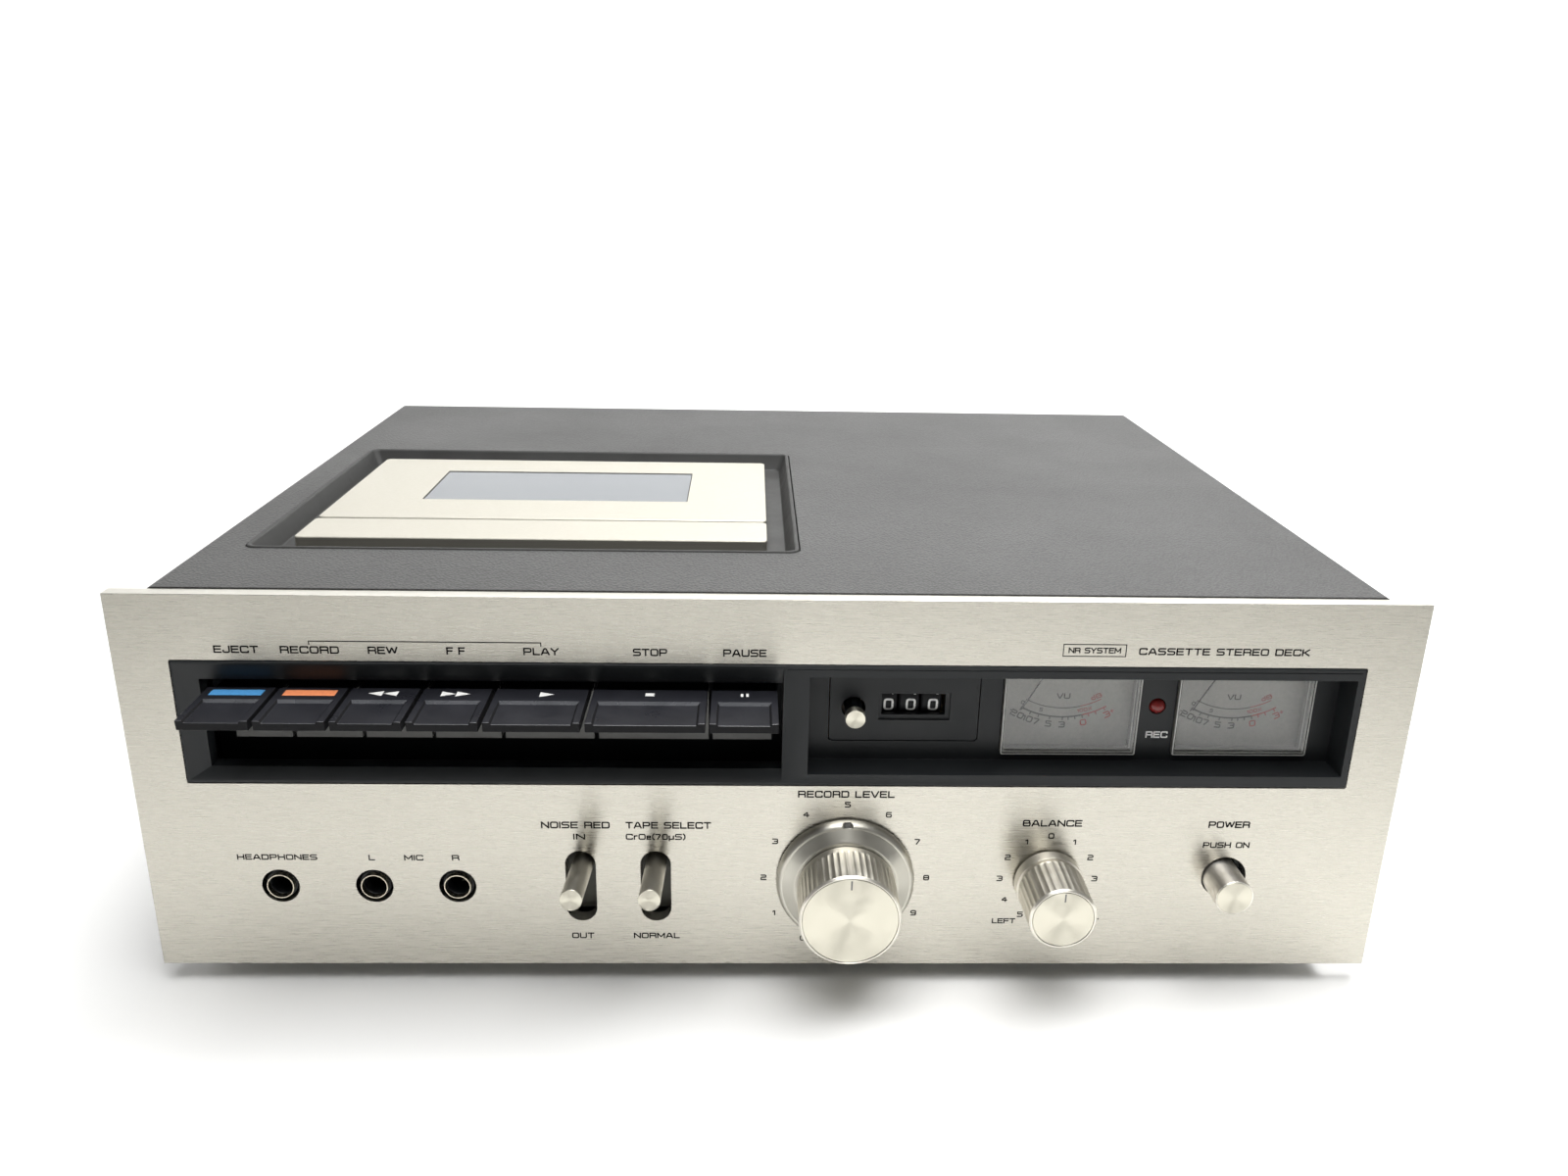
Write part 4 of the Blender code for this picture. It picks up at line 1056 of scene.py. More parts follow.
def key(node):
    """A cap with a shallow scoop, over a body and an arm that runs back to the pivot rod."""
    (x0, x1), (y0, _), (z0, top_back) = span(node)
    top, lip = KEY_FRONT_TOP, KEY_LIP_BOTTOM
    outline = ((y0, top), (y0 + 0.5, lip), (14.0, lip), (14.0, 98.8), (2.6, 98.8), (0.6, top_back))
    cap = raw(drawn(outline, (x0, x1), "x"))
    scoop(cap, x0, x1, y0, top)
    dress(cap, KEY_BLACK, node, 0.4, (node,), 3, f"{node}_cap")
    # Painted highlight on the key edges that face up and forward
    refinish(cap, KEY_HIGHLIGHT_EDGE, on_worn_edge)
    # Painted shade on the keys' fronts and sides
    refinish(cap, KEY_SHADED_SIDE, on_key_side)
    body_x = (x0 + (3.2 if node == KEYS[0] else 0.0), x1 - (1.5 if node == KEYS[-1] else 0.0))
    body = raw(block(body_x, (9.0, 14.0), (z0, lip - 0.02)))
    _, rod_y, rod_z = [middle(pair) for pair in span("key_pivot_rod")]
    mid = middle((x0, x1))
    arm_x = (mid - 3.5, mid + 3.5)
    fuse(body, raw(block(arm_x, (11.0, rod_y - 1.0), (89.0, 95.0))))
    fuse(body, raw(drawn(circle((rod_y, rod_z), 5.0), arm_x, "x")))
    carve(body, raw(drawn(circle((rod_y, rod_z), 2.09), (arm_x[0] - 1.0, arm_x[1] + 1.0), "x")))
    dress(body, KEY_BODY, node, 0.2, name=f"{node}_lever")


def scoop(cap, x0, x1, y0, top):
    """The finger scoop: sloping sides and back, open at the front edge."""
    border, slope, depth = 1.9, 0.7, 0.65
    back_high, back_low, front = -6.36, -9.6, y0 - 1.5
    high, low_front, low_back = top + 1.2, top - depth - 0.1, top + 0.25 - depth
    rings = []
    for spread, back, rear, fore in ((slope, back_low, low_back, low_front), (-slope, back_high, high, high)):
        left, right = x0 + border + spread, x1 - border - spread
        rings.append([(left, back, rear), (right, back, rear), (right, front, fore), (left, front, fore)])
    carve(cap, raw(loft(rings)))


def key_marks():
    """Colour bars and tape symbols on the keys' tops."""
    for node, ink in (("eject_key", INK_BLUE), ("record_key", INK_ORANGE)):
        x, _, z = span(node)
        mid = middle(x)
        bm = block((mid - 8.0, mid + 8.0), (-5.4, -1.3), (z[1] - 0.06, z[1] + 0.03))
        finished(bm, f"{node}_bar", ink, body=node, bevel=0.02)
    arrow = 3.4

    def triangle(bm, x, z, way, length=4.4):
        points = ((x - way * length / 2, -5.2), (x + way * length / 2, -arrow), (x - way * length / 2, -1.7))
        drawn(points, (z - 0.06, z + 0.03), "z", bm)

    marks = {"rewind_key": (-2.3, 2.3, -1), "fast_forward_key": (-2.3, 2.3, 1), "play_key": (1.8, None, 1)}
    for node, (near, far, way) in marks.items():
        x, _, z = span(node)
        bm = bmesh.new()
        triangle(bm, middle(x) + near, z[1], way)
        if far is not None:
            triangle(bm, middle(x) + far, z[1], way)
        finished(bm, f"{node}_mark", INK_WHITE, body=node)
    for node, bars in (("stop_key", ((-1.4, 1.4),)), ("pause_key", ((-1.2, -0.4), (0.5, 1.3)))):
        x, _, z = span(node)
        bm = bmesh.new()
        for low, high in bars:
            block((middle(x) + low, middle(x) + high), (-4.1, -2.0), (z[1] - 0.06, z[1] + 0.03), bm)
        finished(bm, f"{node}_mark", INK_WHITE, body=node)


def key_baffle():
    """A black plate behind the keys' bodies, with gaps for their arms."""
    baffle = raw(block((-184.0, 5.0), (19.0, 20.0), (64.0, 100.0)))
    for node in KEYS:
        mid = mid_x(node)
        carve(baffle, raw(block((mid - 4.5, mid + 4.5), (15.0, 25.0), (83.0, 110.0))))
    # The plate is in the darkest black: painted shade behind the keys
    dress(baffle, BLACK_PAINTED_SHADE, name="key_baffle")


# Case


def top_cover():
    x, y, z = span("top_cover")
    sheet, bend = 1.2, 2.5
    outer = rounded(x, (z[0] - 20.0, z[1]), bend, 9)
    inner = rounded((x[0] + sheet, x[1] - sheet), (z[0] - 21.0, z[1] - sheet), bend - sheet, 9)
    cover = raw(drawn(outer, y, "y"))
    below = raw(block((x[0] - 5.0, x[1] + 5.0), (y[0] - 5.0, y[1] + 5.0), (z[0] - 30.0, z[0])))
    carve(cover, raw(drawn(inner, (y[0] - 1.0, y[1] + 1.0), "y")), below)
    bay_x, bay_y, _ = span("lid_surround")
    hole = rounded(*inset(bay_x, bay_y, -0.3), 4.3, 10)
    carve(cover, raw(drawn(hole, (z[1] - 10.0, z[1] + 10.0), "z")))
    dress(cover, COAT, "deck", 0.3, ("top_cover",), name="grained_cover")
    for side, word in ((-1, "left"), (1, "right")):
        for place_y in (60, 240):
            screw(f"cover_screw_{word}_{place_y}", (side * x[1], place_y, 66.0), (side, 0, 0))


def screw(name, place, way):
    """A round-headed cross-slot screw whose head stands on a face that looks the given way."""
    profile = ((3.4, 0.0), (3.4, 0.5), (2.6, 1.5), (1.2, 1.95), (0.0, 2.0))
    head = raw(turned(profile, (0.0, 0.0), "z", 32))
    for slot_x, slot_y in ((1.9, 0.4), (0.4, 1.9)):
        carve(head, raw(block((-slot_x, slot_x), (-slot_y, slot_y), (1.0, 3.0))))
    hang(head, place, Vector((0, 0, 1)).rotation_difference(Vector(way)).to_matrix().to_4x4())
    dress(head, DARK_STEEL, name=name)


def lid_surround():
    """The recess round the lid: a rounded bead, sloping walls, a floor and the well under the lid."""
    x, y, z = span("lid_surround")
    rim, floor = z[1] + 0.75, 125.7
    well_x, well_y = (-165.0, -6.0), (80.0, 178.0)
    low, under = z[0], floor - 1.5
    stages = (
        (inset(x, y, 0.0), 4.0, rim - 0.9),
        (inset(x, y, 0.05), 4.0, rim - 0.45),
        (inset(x, y, 0.3), 3.8, rim - 0.1),
        (inset(x, y, 0.7), 3.5, rim),
        (inset(x, y, 1.2), 3.2, rim - 0.1),
        (inset(x, y, 1.55), 3.0, rim - 0.5),
        (inset(x, y, 1.65), 2.9, rim - 1.0),
        (inset(x, y, 4.0), 2.4, floor + 0.6),
        (inset(x, y, 4.7), 2.2, floor),
        ((well_x, well_y), 2.0, floor),
        ((well_x, well_y), 2.0, low),
        (inset(well_x, well_y, -1.8), 3.8, low),
        (inset(well_x, well_y, -1.8), 3.8, under),
        (inset(x, y, 0.0), 4.0, under),
    )
    rings = [[(*point, level) for point in rounded(*sides, radius, 9)] for sides, radius, level in stages]
    surround = raw(loft(rings, closed=True))
    _, hinge_y, hinge_z = [middle(pair) for pair in span("lid_hinge_pin")]
    for arm in (-160.0, -11.0):
        carve(surround, raw(block((arm - 3.4, arm + 3.4), (176.0, 186.0), (117.0, 128.0))))
        for side in (-1, 1):
            lug = sorted((arm + side * 3.8, arm + side * 6.4))
            fuse(surround, raw(block(lug, (179.5, 186.5), (118.0, under + 0.5))))
    carve(surround, raw(drawn(circle((hinge_y, hinge_z), 1.5, 24), (-176.0, 5.0), "x")))
    dress(surround, RECESS_BLACK, "deck", 0.0, ("lid_surround",), name="recess_moulding")


PLATE_SKIN, PLATE_EDGE = 1.5, 4.0


def lid_shell(node, name, body, window=None, arms=()):
    """A metal plate with a short turned-down edge in painted shade, on a black skirt."""
    x, y, z = span(node)
    y = (y[0] + 0.35, min(y[1], 181.0)) if arms else (y[0], y[1] - 0.5)
    bottom = 126.5 if arms else z[0]
    top = z[1]
    edge = top - PLATE_EDGE
    stages = (
        (0.0, 2.0, edge),
        (0.0, 2.0, top - 0.45),
        (0.13, 1.9, top - 0.13),
        (0.45, 1.6, top),
    )
    rings = []
    for amount, radius, level in stages:
        rings.append([(*point, level) for point in rounded(*inset(x, y, amount), radius, 9)])
    made = raw(loft(rings))
    hollow = rounded(*inset(x, y, PLATE_SKIN), 0.6)
    carve(made, raw(drawn(hollow, (edge - 1.0, top - PLATE_SKIN), "z")))
    skirt = raw(drawn(rounded(*inset(x, y, 0.15), 1.9, 9), (bottom, edge - 0.01), "z"))
    carve(skirt, raw(drawn(hollow, (bottom - 1.0, top + 1.0), "z")))
    if window:
        carve(made, raw(drawn(rounded(*window, 0.6), (bottom - 5.0, top + 5.0), "z")))
    if arms:
        carve(skirt, raw(block((x[0] - 5.0, x[1] + 5.0), (170.0, 190.0), (bottom - 5.0, bottom + 1.2))))
        lid_hooks(name, body, arms, top - PLATE_SKIN)
    dress(made, LID_METAL, body, 0.0, (node,), name=name)
    # The plates' upright edges get the darker metal: painted shade
    refinish(made, LID_SHADED_EDGE, lambda face: abs(face.normal.z) < 0.3)
    dress(skirt, RECESS_BLACK, body, name=f"{name}_skirt")


def lid_hooks(name, body, arms, plate):
    """Two hooked arms that carry the lid on its hinge pin."""
    _, hinge_y, hinge_z = [middle(pair) for pair in span("lid_hinge_pin")]
    hook = ((166.0, plate - 0.02), (173.2, plate - 0.02), (173.2, 123.4), (hinge_y, 123.4))
    hook += ((hinge_y, 119.6), (170.0, 119.6), (168.0, 121.6))
    for number, arm in enumerate(arms):
        ends = (arm - 3.0, arm + 3.0)
        made = raw(drawn(hook, ends, "x"))
        fuse(made, raw(drawn(circle((hinge_y, hinge_z), 2.6, 32), ends, "x")))
        carve(made, raw(drawn(circle((hinge_y, hinge_z), 1.27, 32), (ends[0] - 1.0, ends[1] + 1.0), "x")))
        dress(made, PLATED, body, name=f"{name}_hook_{number}")


WINDOW_PLACE = ((-137.0, -33.4), (114.0, 160.0))


def lids():
    lid_shell("head_cover", "head_cover_shell", "deck")
    lid_shell("cassette_lid", "lid_shell", "lid", WINDOW_PLACE, (-160.0, -11.0))
    x, y, z = span("lid_window")
    pane = raw(drawn(rounded(*inset(*WINDOW_PLACE, 0.35), 0.5), (z[0] + 0.6, z[1]), "z"))
    fuse(pane, raw(block(x, y, (z[0], z[0] + 1.3))))
    dress(pane, SMOKED, "lid", 0.12, ("lid_window",), name="lid_pane")


def feet():
    for end in ("front", "rear"):
        for side in ("left", "right"):
            node = f"{end}_{side}_foot"
            x, y, z = span(node)
            hub = (middle(x), middle(y))
            profile = ((0.0, z[0] + 3.0), (4.0, z[0] + 3.0), (4.2, z[0] + 0.3), (4.6, z[0]), (12.4, z[0]))
            profile += ((13.0, z[0] + 0.5), (14.6, z[0] + 4.4), (15.0, z[0] + 4.9), (15.0, z[1]))
            finished(turned(profile, hub, "z"), f"{node}_rubber", RUBBER, stands_for=(node,))


# Controls


def jack(node):
    """A dark threaded bush with a thin bright lip, in front of the socket's body."""
    x, z = centre(node)
    front, rear = span(node)[1]
    bush = ((3.9, front + 0.4), (4.2, front), (5.0, front), (5.1, front + 0.15), (5.1, 5.8), (3.9, 5.8))
    finished(turned(bush, (x, z), "y", closed=True), f"{node}_bush", BLACK, (x, front, z))
    lip = ((4.0, front + 0.1), (4.1, -0.45), (4.4, -0.45), (4.5, front + 0.1))
    finished(turned(lip, (x, z), "y", closed=True), f"{node}_lip", BRASS, (x, front, z))
    body = raw(block((x - 8.0, x + 8.0), (PANEL_BACK + 0.3, rear), (z - 9.0, z + 9.0)))
    bore = ((5.15, PANEL_BACK), (5.15, 5.85), (3.9, 5.86), (3.9, rear + 1.0))
    carve(body, raw(turned(bore, (x, z), "y")))
    # The socket's body is in the darkest black: painted shade behind the panel
    dress(body, BLACK_PAINTED_SHADE, "deck", 0.4, (node,), name=f"{node}_body")
    leaf = block((x - 0.9, x + 0.9), (9.0, 22.0), (z - 3.75, z - 3.3))
    finished(leaf, f"{node}_contact", BRASS, bevel=0.08)


def hang(made, pivot, lean):
    """Puts a piece modelled about its own pivot at its place."""
    made.matrix_world = Matrix.Translation(at(*pivot)) @ lean
    bpy.context.view_layer.update()


def lever(node):
    """A round bar with a bright end, on a rocker; a curved shield behind the panel closes its slot."""
    pivot = (mid_x(node), middle(span("lever_switch_frame")[1]), SLOT_Z)
    reach, radius, tilt = 73.7, 3.5, 9.0
    lean = Matrix.Rotation(math.radians(-tilt), 4, "X")
    bar = raw(turned(((radius, 0.35 - reach), (radius, -22.0)), (0.0, 0.0), "y"))
    end = ((0.0, 0.1), (3.2, 0.1), (3.35, 0.0), (radius, 0.12), (radius, 0.34))
    tip = raw(turned([(distance, along - reach) for distance, along in end], (0.0, 0.0), "y"))
    arm = raw(block((-2.5, 2.5), (-21.9, -1.0), (-3.0, 3.0)))
    fuse(arm, raw(drawn(circle((0.0, 0.0), 4.5), (-2.5, 2.5), "x")))
    carve(arm, raw(drawn(circle((0.0, 0.0), 1.58, 24), (-4.0, 4.0), "x")))
    shield = raw(lever_shield())
    carve(shield, raw(turned(((radius + 0.1, -60.0), (radius + 0.1, -20.0)), (0.0, 0.0), "y", 32)))
    pieces = (
        (bar, "bar", SPUN_BAR, (node,)),
        (tip, "tip", SPUN, ()),
        (arm, "rocker", BLACK, ()),
        (shield, "shield", SHIELD_GREY, ()),
    )
    for piece, word, material, stands_for in pieces:
        hang(piece, pivot, lean)
        dress(piece, material, node, 0.0, stands_for, name=f"{node}_{word}")


def lever_shield():
    """An arc about the lever's pivot."""
    outer = 46.6 - PANEL_BACK
    outline = []
    for radius, turns in ((outer, range(-27, 28, 3)), (outer - 0.8, range(27, -28, -3))):
        for turn in turns:
            angle = math.radians(turn)
            outline.append((-radius * math.cos(angle), radius * math.sin(angle)))
    return drawn(outline, (-6.0, 6.0), "x")


def flutes(rings, count, depth):
    """Concave grooves on the numbered rings."""

    def wave(number, turn):
        if number not in rings:
            return 0.0
        share = (turn * count / math.tau) % 1.0
        return -depth * math.sin(math.pi * share) ** 0.7

    return wave


def index_line(name, body, pivot, radii, y, width, material=DARK_STEEL):
    x, z = pivot[0], pivot[2]
    bm = block((x - width / 2, x + width / 2), (y - 0.03, y + 0.1), (z + radii[0], z + radii[1]))
    finished(bm, name, material, pivot, body, 0.02)


def fluted_knob(node, name, centre_at, rim, back, count, depth, index):
    """A knob with a spun face disc in a bright rim, over a fluted skirt."""
    _, y, _ = span(node)
    face = y[0]
    hub = (centre_at[0], face, centre_at[1])
    lip = rim - 1.0
    front = (
        (0.0, face + 0.9),
        (lip, face + 0.9),
        (lip + 0.02, face + 0.12),
        (lip + 0.15, face),
        (rim - 0.65, face),
        (rim - 0.1, face + 0.5),
        (rim, face + 0.65),
        (rim - 0.02, face + 0.85),
    )
    wave = flutes((7, 8), count, depth)
    knob = turned((*front, *back), centre_at, "y", count * 8, wave=wave)
    # The knob's body and skirt are in the lighter copy of the metal: painted light
    finished(knob, f"{name}_body", SPUN_SIDE_PAINTED_LIGHT, hub, node, stands_for=(node,))
    plate = lip - 0.14
    disc = ((0.0, face + 0.88), (plate, face + 0.88), (plate, face + 0.15), (lip - 0.25, face + 0.05))
    disc += ((0.0, face + 0.05),)
    finished(turned(disc, centre_at, "y", 96), f"{name}_face", SPUN, hub, node)
    index_line(f"{name}_index", node, hub, index, face + 0.05, 0.5)


def level_knobs():
    x, z = centre("level_control")
    _, y, _ = span("outer_level_knob")
    hub = (x, y[0], z)
    face = ((3.6, -6.0), (17.0, -6.0), (17.3, -5.95), (17.6, -5.75), (21.0, -3.75), (21.2, -3.85))
    rim = ((21.5, -3.85), (22.0, -3.6), (22.5, -3.0), (22.85, -2.2), (23.0, -1.3), (23.0, -0.8))
    sleeve = ((4.6, -0.8), (4.6, 5.5), (3.6, 5.5))
    ring = raw(turned((*face, *rim, *sleeve), (x, z), "y", 128, closed=True))
    carve(ring, raw(block((x - 1.15, x + 1.15), (-5.0, -2.4), (z + 21.2, z + 24.5))))
    recentre(ring, hub)
    dress(ring, RING_METAL, "outer_level_knob", 0.0, ("outer_level_knob",), name="level_ring")
    filler = block((x - 1.05, x + 1.05), (-3.3, -2.2), (z + 20.8, z + 22.8))
    finished(filler, "level_ring_index", DARK_STEEL, hub, "outer_level_knob", 0.05)
    back = ((16.33, -9.6), (16.35, -9.2), (16.35, -6.7), (16.2, -6.5), (3.4, -6.4), (3.4, 8.0))
    fluted_knob("inner_level_knob", "level_knob", (x, z), 16.35, back, 50, 0.24, (11.4, 14.7))


def recentre(made, pivot):
    """Moves a raw piece's origin to its pivot, and leaves its faces where they are."""
    made.data.transform(Matrix.Translation(-Vector(pivot) * MM))
    made.location = at(*pivot)
    bpy.context.view_layer.update()


def balance_knob():
    back = ((11.08, -7.2), (11.1, -6.8), (11.0, -6.5), (10.3, -6.2), (10.3, -5.4), (11.2, -5.2), (11.3, -5.0))
    back += ((11.3, -1.1), (11.1, -0.9), (3.0, -0.8), (3.0, 8.0))
    fluted_knob("balance_knob", "balance_knob", centre("balance_control"), 10.9, back, 34, 0.22, (6.4, 9.4))


def power_button():
    x, z = power_centre()
    face = span("power_button")[1][0] - POWER_REACH
    hub = (x, face, z)
    rim = ((0.0, 0.6), (5.9, 0.6), (5.9, 0.2), (6.1, 0.15), (6.25, 0.4))
    profile = [(radius, face + depth) for radius, depth in rim]
    profile += [(6.25, 5.0), (3.0, 5.0), (3.0, 13.0)]
    button = turned(profile, (x, z), "y")
    # The button's body is in the lighter copy of the metal: painted light on its side
    finished(button, "power_button_body", BUTTON_SIDE_PAINTED_LIGHT, hub, "power_button", stands_for=("power_button",))
    disc = ((0.0, 0.55), (5.85, 0.55), (5.85, 0.15), (5.7, 0.0), (0.0, 0.0))
    face_disc = turned([(radius, face + depth) for radius, depth in disc], (x, z), "y")
    finished(face_disc, "power_button_face", SPUN, hub, "power_button")
    sleeve = turned(((6.7, 5.4), (9.5, 5.4), (9.5, 9.5), (6.7, 9.5)), (x, z), "y", closed=True)
    finished(sleeve, "power_sleeve", BLACK)


# Rear and underside


VENTS, VENT_X, VENT_PITCH, VENT_Z = 9, 20.0, 9.0, 100.0
REAR_SCREWS = ((-185.0, 10.0), (185.0, 10.0), (-185.0, 122.0), (185.0, 122.0), (0.0, 122.0))


def rear():
    """The rear plate with its cooling slots, screws and mains inlet."""
    x, y, z = span("rear_panel")
    through = (y[0] - 1.0, y[1] + 1.0)
    panel = raw(block(x, y, z))
    block_x, _, block_z = span("line_socket_block")
    hole_x, hole_z = inset(block_x, block_z, 4.0)
    carve(panel, raw(block(hole_x, through, hole_z)))
    for i in range(VENTS):
        carve(panel, raw(drawn(stadium(VENT_X + VENT_PITCH * i, VENT_Z, 3.0, 32.0, 8), through, "y")))
    dress(panel, DARK_STEEL, "deck", 0.2, ("rear_panel",), name="rear_plate")
    for i, (screw_x, screw_z) in enumerate(REAR_SCREWS):
        screw(f"rear_screw_{i}", (screw_x, y[1], screw_z), (0, 1, 0))
    line_sockets()
    inlet = raw(drawn(rounded((120.0, 150.0), (34.0, 54.0), 3.0), (y[1] + 0.1, y[1] + 3.0), "y"))
    carve(inlet, raw(drawn(rounded((125.0, 145.0), (38.0, 50.0), 4.0), (y[1] + 1.0, y[1] + 5.0), "y")))
    dress(inlet, BLACK, "deck", 0.3, name="mains_inlet")
    for i, pin_x in enumerate((130.5, 139.5)):
        pin = turned(((1.2, y[1] + 0.5), (1.2, y[1] + 2.6)), (pin_x, 44.0), "y", 24)
        finished(pin, f"inlet_pin_{i}", BRASS, bevel=0.2)


def line_sockets():
    """Two pairs of phono sockets on a plate, whose shells end flush with the block's rear."""
    x, y, z = span("line_socket_block")
    end = y[1]
    face = end - 7.5
    plate = raw(drawn(rounded(x, z, 2.0), (end - 9.2, face), "y"))
    boss_x, boss_z = inset(x, z, 5.0)
    fuse(plate, raw(block(boss_x, (y[0], end - 8.5), boss_z)))
    dress(plate, BLACK, "deck", 0.25, ("line_socket_block",), name="line_socket_plate")
    ink = bmesh.new()

    def rearward(u, v, out):
        return (-u, face + out, v)

    shell = ((4.15, 8.0), (4.15, 0.2), (3.95, 0.0), (3.3, 0.0), (3.2, 0.2), (3.2, 8.0))
    core = ((3.1, 8.0), (3.1, 1.0), (1.7, 0.6), (1.6, 7.0))
    collar = ((4.3, 7.4), (7.0, 7.4), (7.0, 6.9), (4.3, 6.6))
    for word, socket_x in (("OUT", -126.0), ("IN", -98.0)):
        write(ink, word, -socket_x, 79.5, WORD, rearward)
        for side, socket_z, colour in (("L", 70.0, WHITE_PLASTIC), ("R", 42.0, LAMP_RED)):
            write(ink, side, -middle(x), socket_z, WORD, rearward)
            parts = (
                ("shell", shell, 64, True, BRASS),
                ("core", core, 40, False, colour),
                ("collar", collar, 64, True, PLATED),
            )
            for part, profile, count, closed, material in parts:
                points = [(radius, end - depth) for radius, depth in profile]
                bm = turned(points, (socket_x, socket_z), "y", count, closed)
                finished(bm, f"socket_{part}_{word}_{side}", material)
    loose(ink, "socket_marks", INK_WHITE)


# Tape transport, seen with the lid open


SPINDLES = ("supply_spindle", "takeup_spindle")
REST_PLACES = ((-46.0, 160.0), (46.0, 160.0), (-48.0, 113.0), (48.0, 113.0))


def transport():
    """The spindles and heads, and what a cassette rests on and is located by."""
    for node in SPINDLES:
        spindle(node)
    heads()
    floor_z = span("transport_frame")[2][1]
    centre_x = middle([mid_x(node) for node in SPINDLES])
    pad = ((3.0, 0.0), (3.0, 2.0), (2.4, 2.4), (0.0, 2.4))
    pin = ((2.0, 0.0), (2.0, 8.5), (1.0, 11.0), (0.0, 11.3))
    stands = [(f"cassette_rest_{i}", pad, place, WHITE_PLASTIC) for i, place in enumerate(REST_PLACES)]
    stands += [(f"locating_pin_{i}", pin, (dx, 107.5), PLATED) for i, dx in enumerate((-42.0, 42.0))]
    for name, profile, (dx, y), material in stands:
        points = [(radius, floor_z + height) for radius, height in profile]
        finished(turned(points, (centre_x + dx, y), "z", 32), name, material)


def spindle(node):
    x, y, z = span(node)
    hub = (middle(x), middle(y))
    top = z[1]
    base = 108.3
    table = ((3.0, 0.0), (10.2, 0.0), (10.5, 0.3), (10.5, 1.6), (10.1, 2.0))
    boss = ((5.0, 2.0), (4.6, 2.6), (3.4, 2.8))
    profile = [(radius, base + height) for radius, height in table + boss]
    profile += [(3.4, top - 2.6), (2.6, top - 1.0), (1.0, top), (0.0, top)]
    body = raw(turned(profile, hub, "z"))
    for i in range(3):
        fin = block((0.0, 4.7), (-0.55, 0.55), (base + 1.0, top - 3.0))
        turn = Matrix.Rotation(math.radians(90.0 + 120.0 * i), 3, "Z")
        bmesh.ops.rotate(fin, cent=(0, 0, 0), matrix=turn, verts=fin.verts)
        bmesh.ops.translate(fin, vec=(*hub, 0.0), verts=fin.verts)
        fuse(body, raw(fin))
    dress(body, WHITE_PLASTIC, node, 0.15, (node,), name=f"{node}_hub")


def heads():
    x, y, z = span("record_play_head")
    mid = middle(x)
    outline = [(x[0], y[0]), (x[1], y[0]), (x[1], y[1] - 2.5)]
    for i in range(1, 16):
        turn = math.radians(180.0 * i / 16)
        outline.append((mid + 6.0 * math.cos(turn), y[1] - 2.5 + 2.5 * math.sin(turn)))
    outline.append((x[0], y[1] - 2.5))
    can = raw(drawn(outline, z, "z"))
    for gap_z in (z[0] + 3.0, z[0] + 6.0):
        carve(can, raw(block((mid - 2.2, mid + 2.2), (y[1] - 0.15, y[1] + 1.0), (gap_z, gap_z + 1.6))))
    dress(can, PLATED, "head_carriage", 0.25, ("record_play_head",), name="head_can")
    erase = block((mid - 31.0, mid - 23.0), (y[0] + 1.0, y[1] - 0.6), (z[0], z[1] - 0.5))
    finished(erase, "erase_head", WHITE_PLASTIC, body="head_carriage", bevel=0.8)
    node = "pinch_roller"
    roller_x, roller_y, roller_z = span(node)
    hub = (middle(roller_x), middle(roller_y))
    profile = ((1.58, roller_z[0]), (6.2, roller_z[0]), (6.5, roller_z[0] + 0.3), (6.5, roller_z[1] - 0.3))
    profile += ((6.2, roller_z[1]), (1.58, roller_z[1]))
    roller = turned(profile, hub, "z", closed=True)
    finished(roller, "pinch_roller_tyre", RUBBER, (*hub, roller_z[0]), node, stands_for=(node,))


def hidden_parts():
    """The CAD's own shapes, inside or underneath, with their finishes."""
    finishes = {
        "bottom_chassis": PLATED,
        "transport_frame": DARK_STEEL,
        "key_pivot_rod": PLATED,
        "lid_hinge_pin": PLATED,
        "drive_motor": PLATED,
        "drive_belt": RUBBER,
        "level_control": DARK_STEEL,
        "balance_control": DARK_STEEL,
        "power_switch": BLACK,
        "lever_switch_frame": DARK_STEEL,
        "power_transformer": DARK_STEEL,
        "main_circuit_board": BOARD_RESIN,
        "capstan_flywheel": PLATED,
        "motor_pulley": WHITE_PLASTIC,
        "head_carriage": PLATED,
    }
    for node, material in finishes.items():
        mesh = frame["nodes"][node].data
        mesh.materials.clear()
        mesh.materials.append(material)


# Stage, light and camera


def stage():
    floor_z = CAD_BOUNDS[0][2]
    bm = bmesh.new()
    depth, height, reach = 1.6, 2.2, 8.0
    line = [(-6.0, 0.0)]
    for i in range(13):
        turn = math.radians(90.0 * i / 12)
        line.append((depth + 0.8 * math.sin(turn), 0.8 - 0.8 * math.cos(turn)))
    line.append((depth + 0.8, height))
    rows = [[bm.verts.new((x, y, floor_z + z)) for y, z in line] for x in (-reach, reach)]
    for i in range(len(line) - 1):
        bm.faces.new((rows[0][i], rows[1][i], rows[1][i + 1], rows[0][i + 1]))
    mesh = bpy.data.meshes.new("sweep")
    bm.to_mesh(mesh)
    bm.free()
    mesh.shade_smooth()
    sweep = bpy.data.objects.new("sweep", mesh)
    bpy.context.collection.objects.link(sweep)
    paper = Finish("paper", (0.88, 0.88, 0.87), 0.7)
    paper.vary_colour(paper.noise(3.0), 0.99, 1.01)
    mesh.materials.append(paper.material)


ROOM_FRONT, ROOM_REAR = 0.15, 0.54


def area_light(name, place, target, size, power, spread):
    data = bpy.data.lights.new(name, "AREA")
    data.shape = "RECTANGLE"
    data.size, data.size_y = size
    data.energy = power
    data.spread = math.radians(spread)
    lamp = bpy.data.objects.new(name, data)
    bpy.context.collection.objects.link(lamp)
    lamp.location = place
    lamp.visible_camera = False
    lamp.rotation_euler = (Vector(target) - Vector(place)).to_track_quat("-Z", "Y").to_euler()


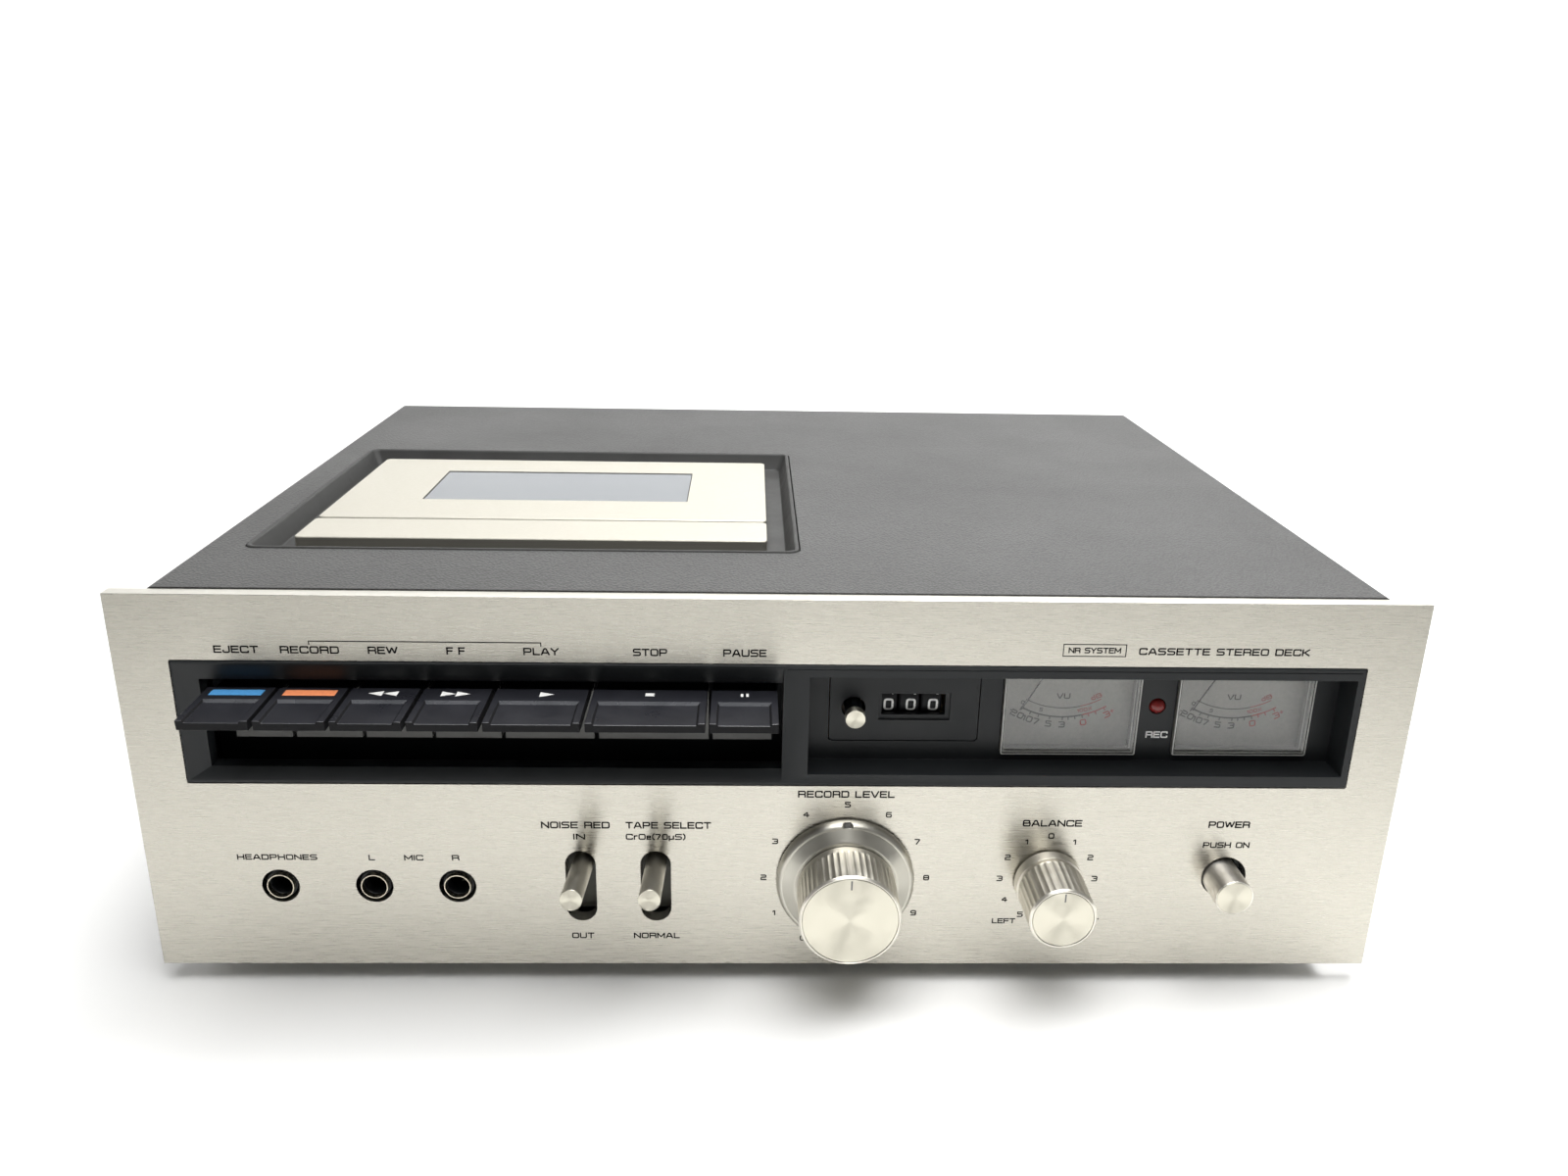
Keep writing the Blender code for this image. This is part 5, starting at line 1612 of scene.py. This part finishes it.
def lights():
    """A dim room that is brighter towards the rear, and one large soft box overhead."""
    world = bpy.data.worlds.new("studio")
    world.use_nodes = True
    tree = world.node_tree
    background = tree.nodes["Background"]
    background.inputs["Color"].default_value = (1.0, 1.0, 0.99, 1.0)
    direction = tree.nodes.new("ShaderNodeTexCoord")
    parts = tree.nodes.new("ShaderNodeSeparateXYZ")
    level = tree.nodes.new("ShaderNodeMapRange")
    for socket, number in zip(RAMP_SOCKETS, (-0.7, 0.5, ROOM_FRONT, ROOM_REAR)):
        level.inputs[socket].default_value = number
    tree.links.new(direction.outputs["Generated"], parts.inputs["Vector"])
    tree.links.new(parts.outputs["Y"], level.inputs["Value"])
    tree.links.new(level.outputs["Result"], background.inputs["Strength"])
    bpy.context.scene.world = world
    area_light("overhead", (0.15, 0.0, 0.80), (0.11, 0.02, 0.0), (1.35, 0.6), 8.8, 130.0)
    area_light("strip", (0.22, -0.02, 0.79), (0.12, 0.0, 0.0), (0.12, 0.7), 1.5, 130.0)
    area_light("backdrop", (0.0, 0.7, 2.3), (0.0, 2.2, 0.3), (5.0, 0.8), 62.0, 110.0)


CAMERA_PLACE = (-8.94, -355.7, 259.33)
CAMERA_PITCH, CAMERA_YAW, CAMERA_ROLL = 19.17, -1.742, 1.099
CAMERA_LENS = 28.26


def camera():
    """The camera looks down by its pitch, after a turn about the vertical and a roll about its own axis."""
    turn = Matrix.Rotation(math.radians(CAMERA_YAW), 4, "Z")
    tilt = Matrix.Rotation(math.radians(90.0 - CAMERA_PITCH), 4, "X")
    roll = Matrix.Rotation(math.radians(CAMERA_ROLL), 4, "Z")
    data = bpy.data.cameras.new("camera")
    data.lens = CAMERA_LENS
    data.sensor_width = 36.0
    data.clip_start = 0.01
    made = bpy.data.objects.new("camera", data)
    bpy.context.collection.objects.link(made)
    made.matrix_world = Matrix.Translation(at(*CAMERA_PLACE)) @ turn @ tilt @ roll
    bpy.context.scene.camera = made


def build():
    front_panel()
    panel_markings()
    control_bezel()
    counter()
    for side in ("left", "right"):
        meter(side)
    record_lamp()
    for node in KEYS:
        key(node)
    key_marks()
    key_baffle()
    top_cover()
    lid_surround()
    lids()
    feet()
    for node in JACKS:
        jack(node)
    for node in LEVERS:
        lever(node)
    level_knobs()
    balance_knob()
    power_button()
    rear()
    transport()
    hidden_parts()
    stage()
    lights()
    camera()
    bpy.context.scene.view_settings.view_transform = "Standard"


build()
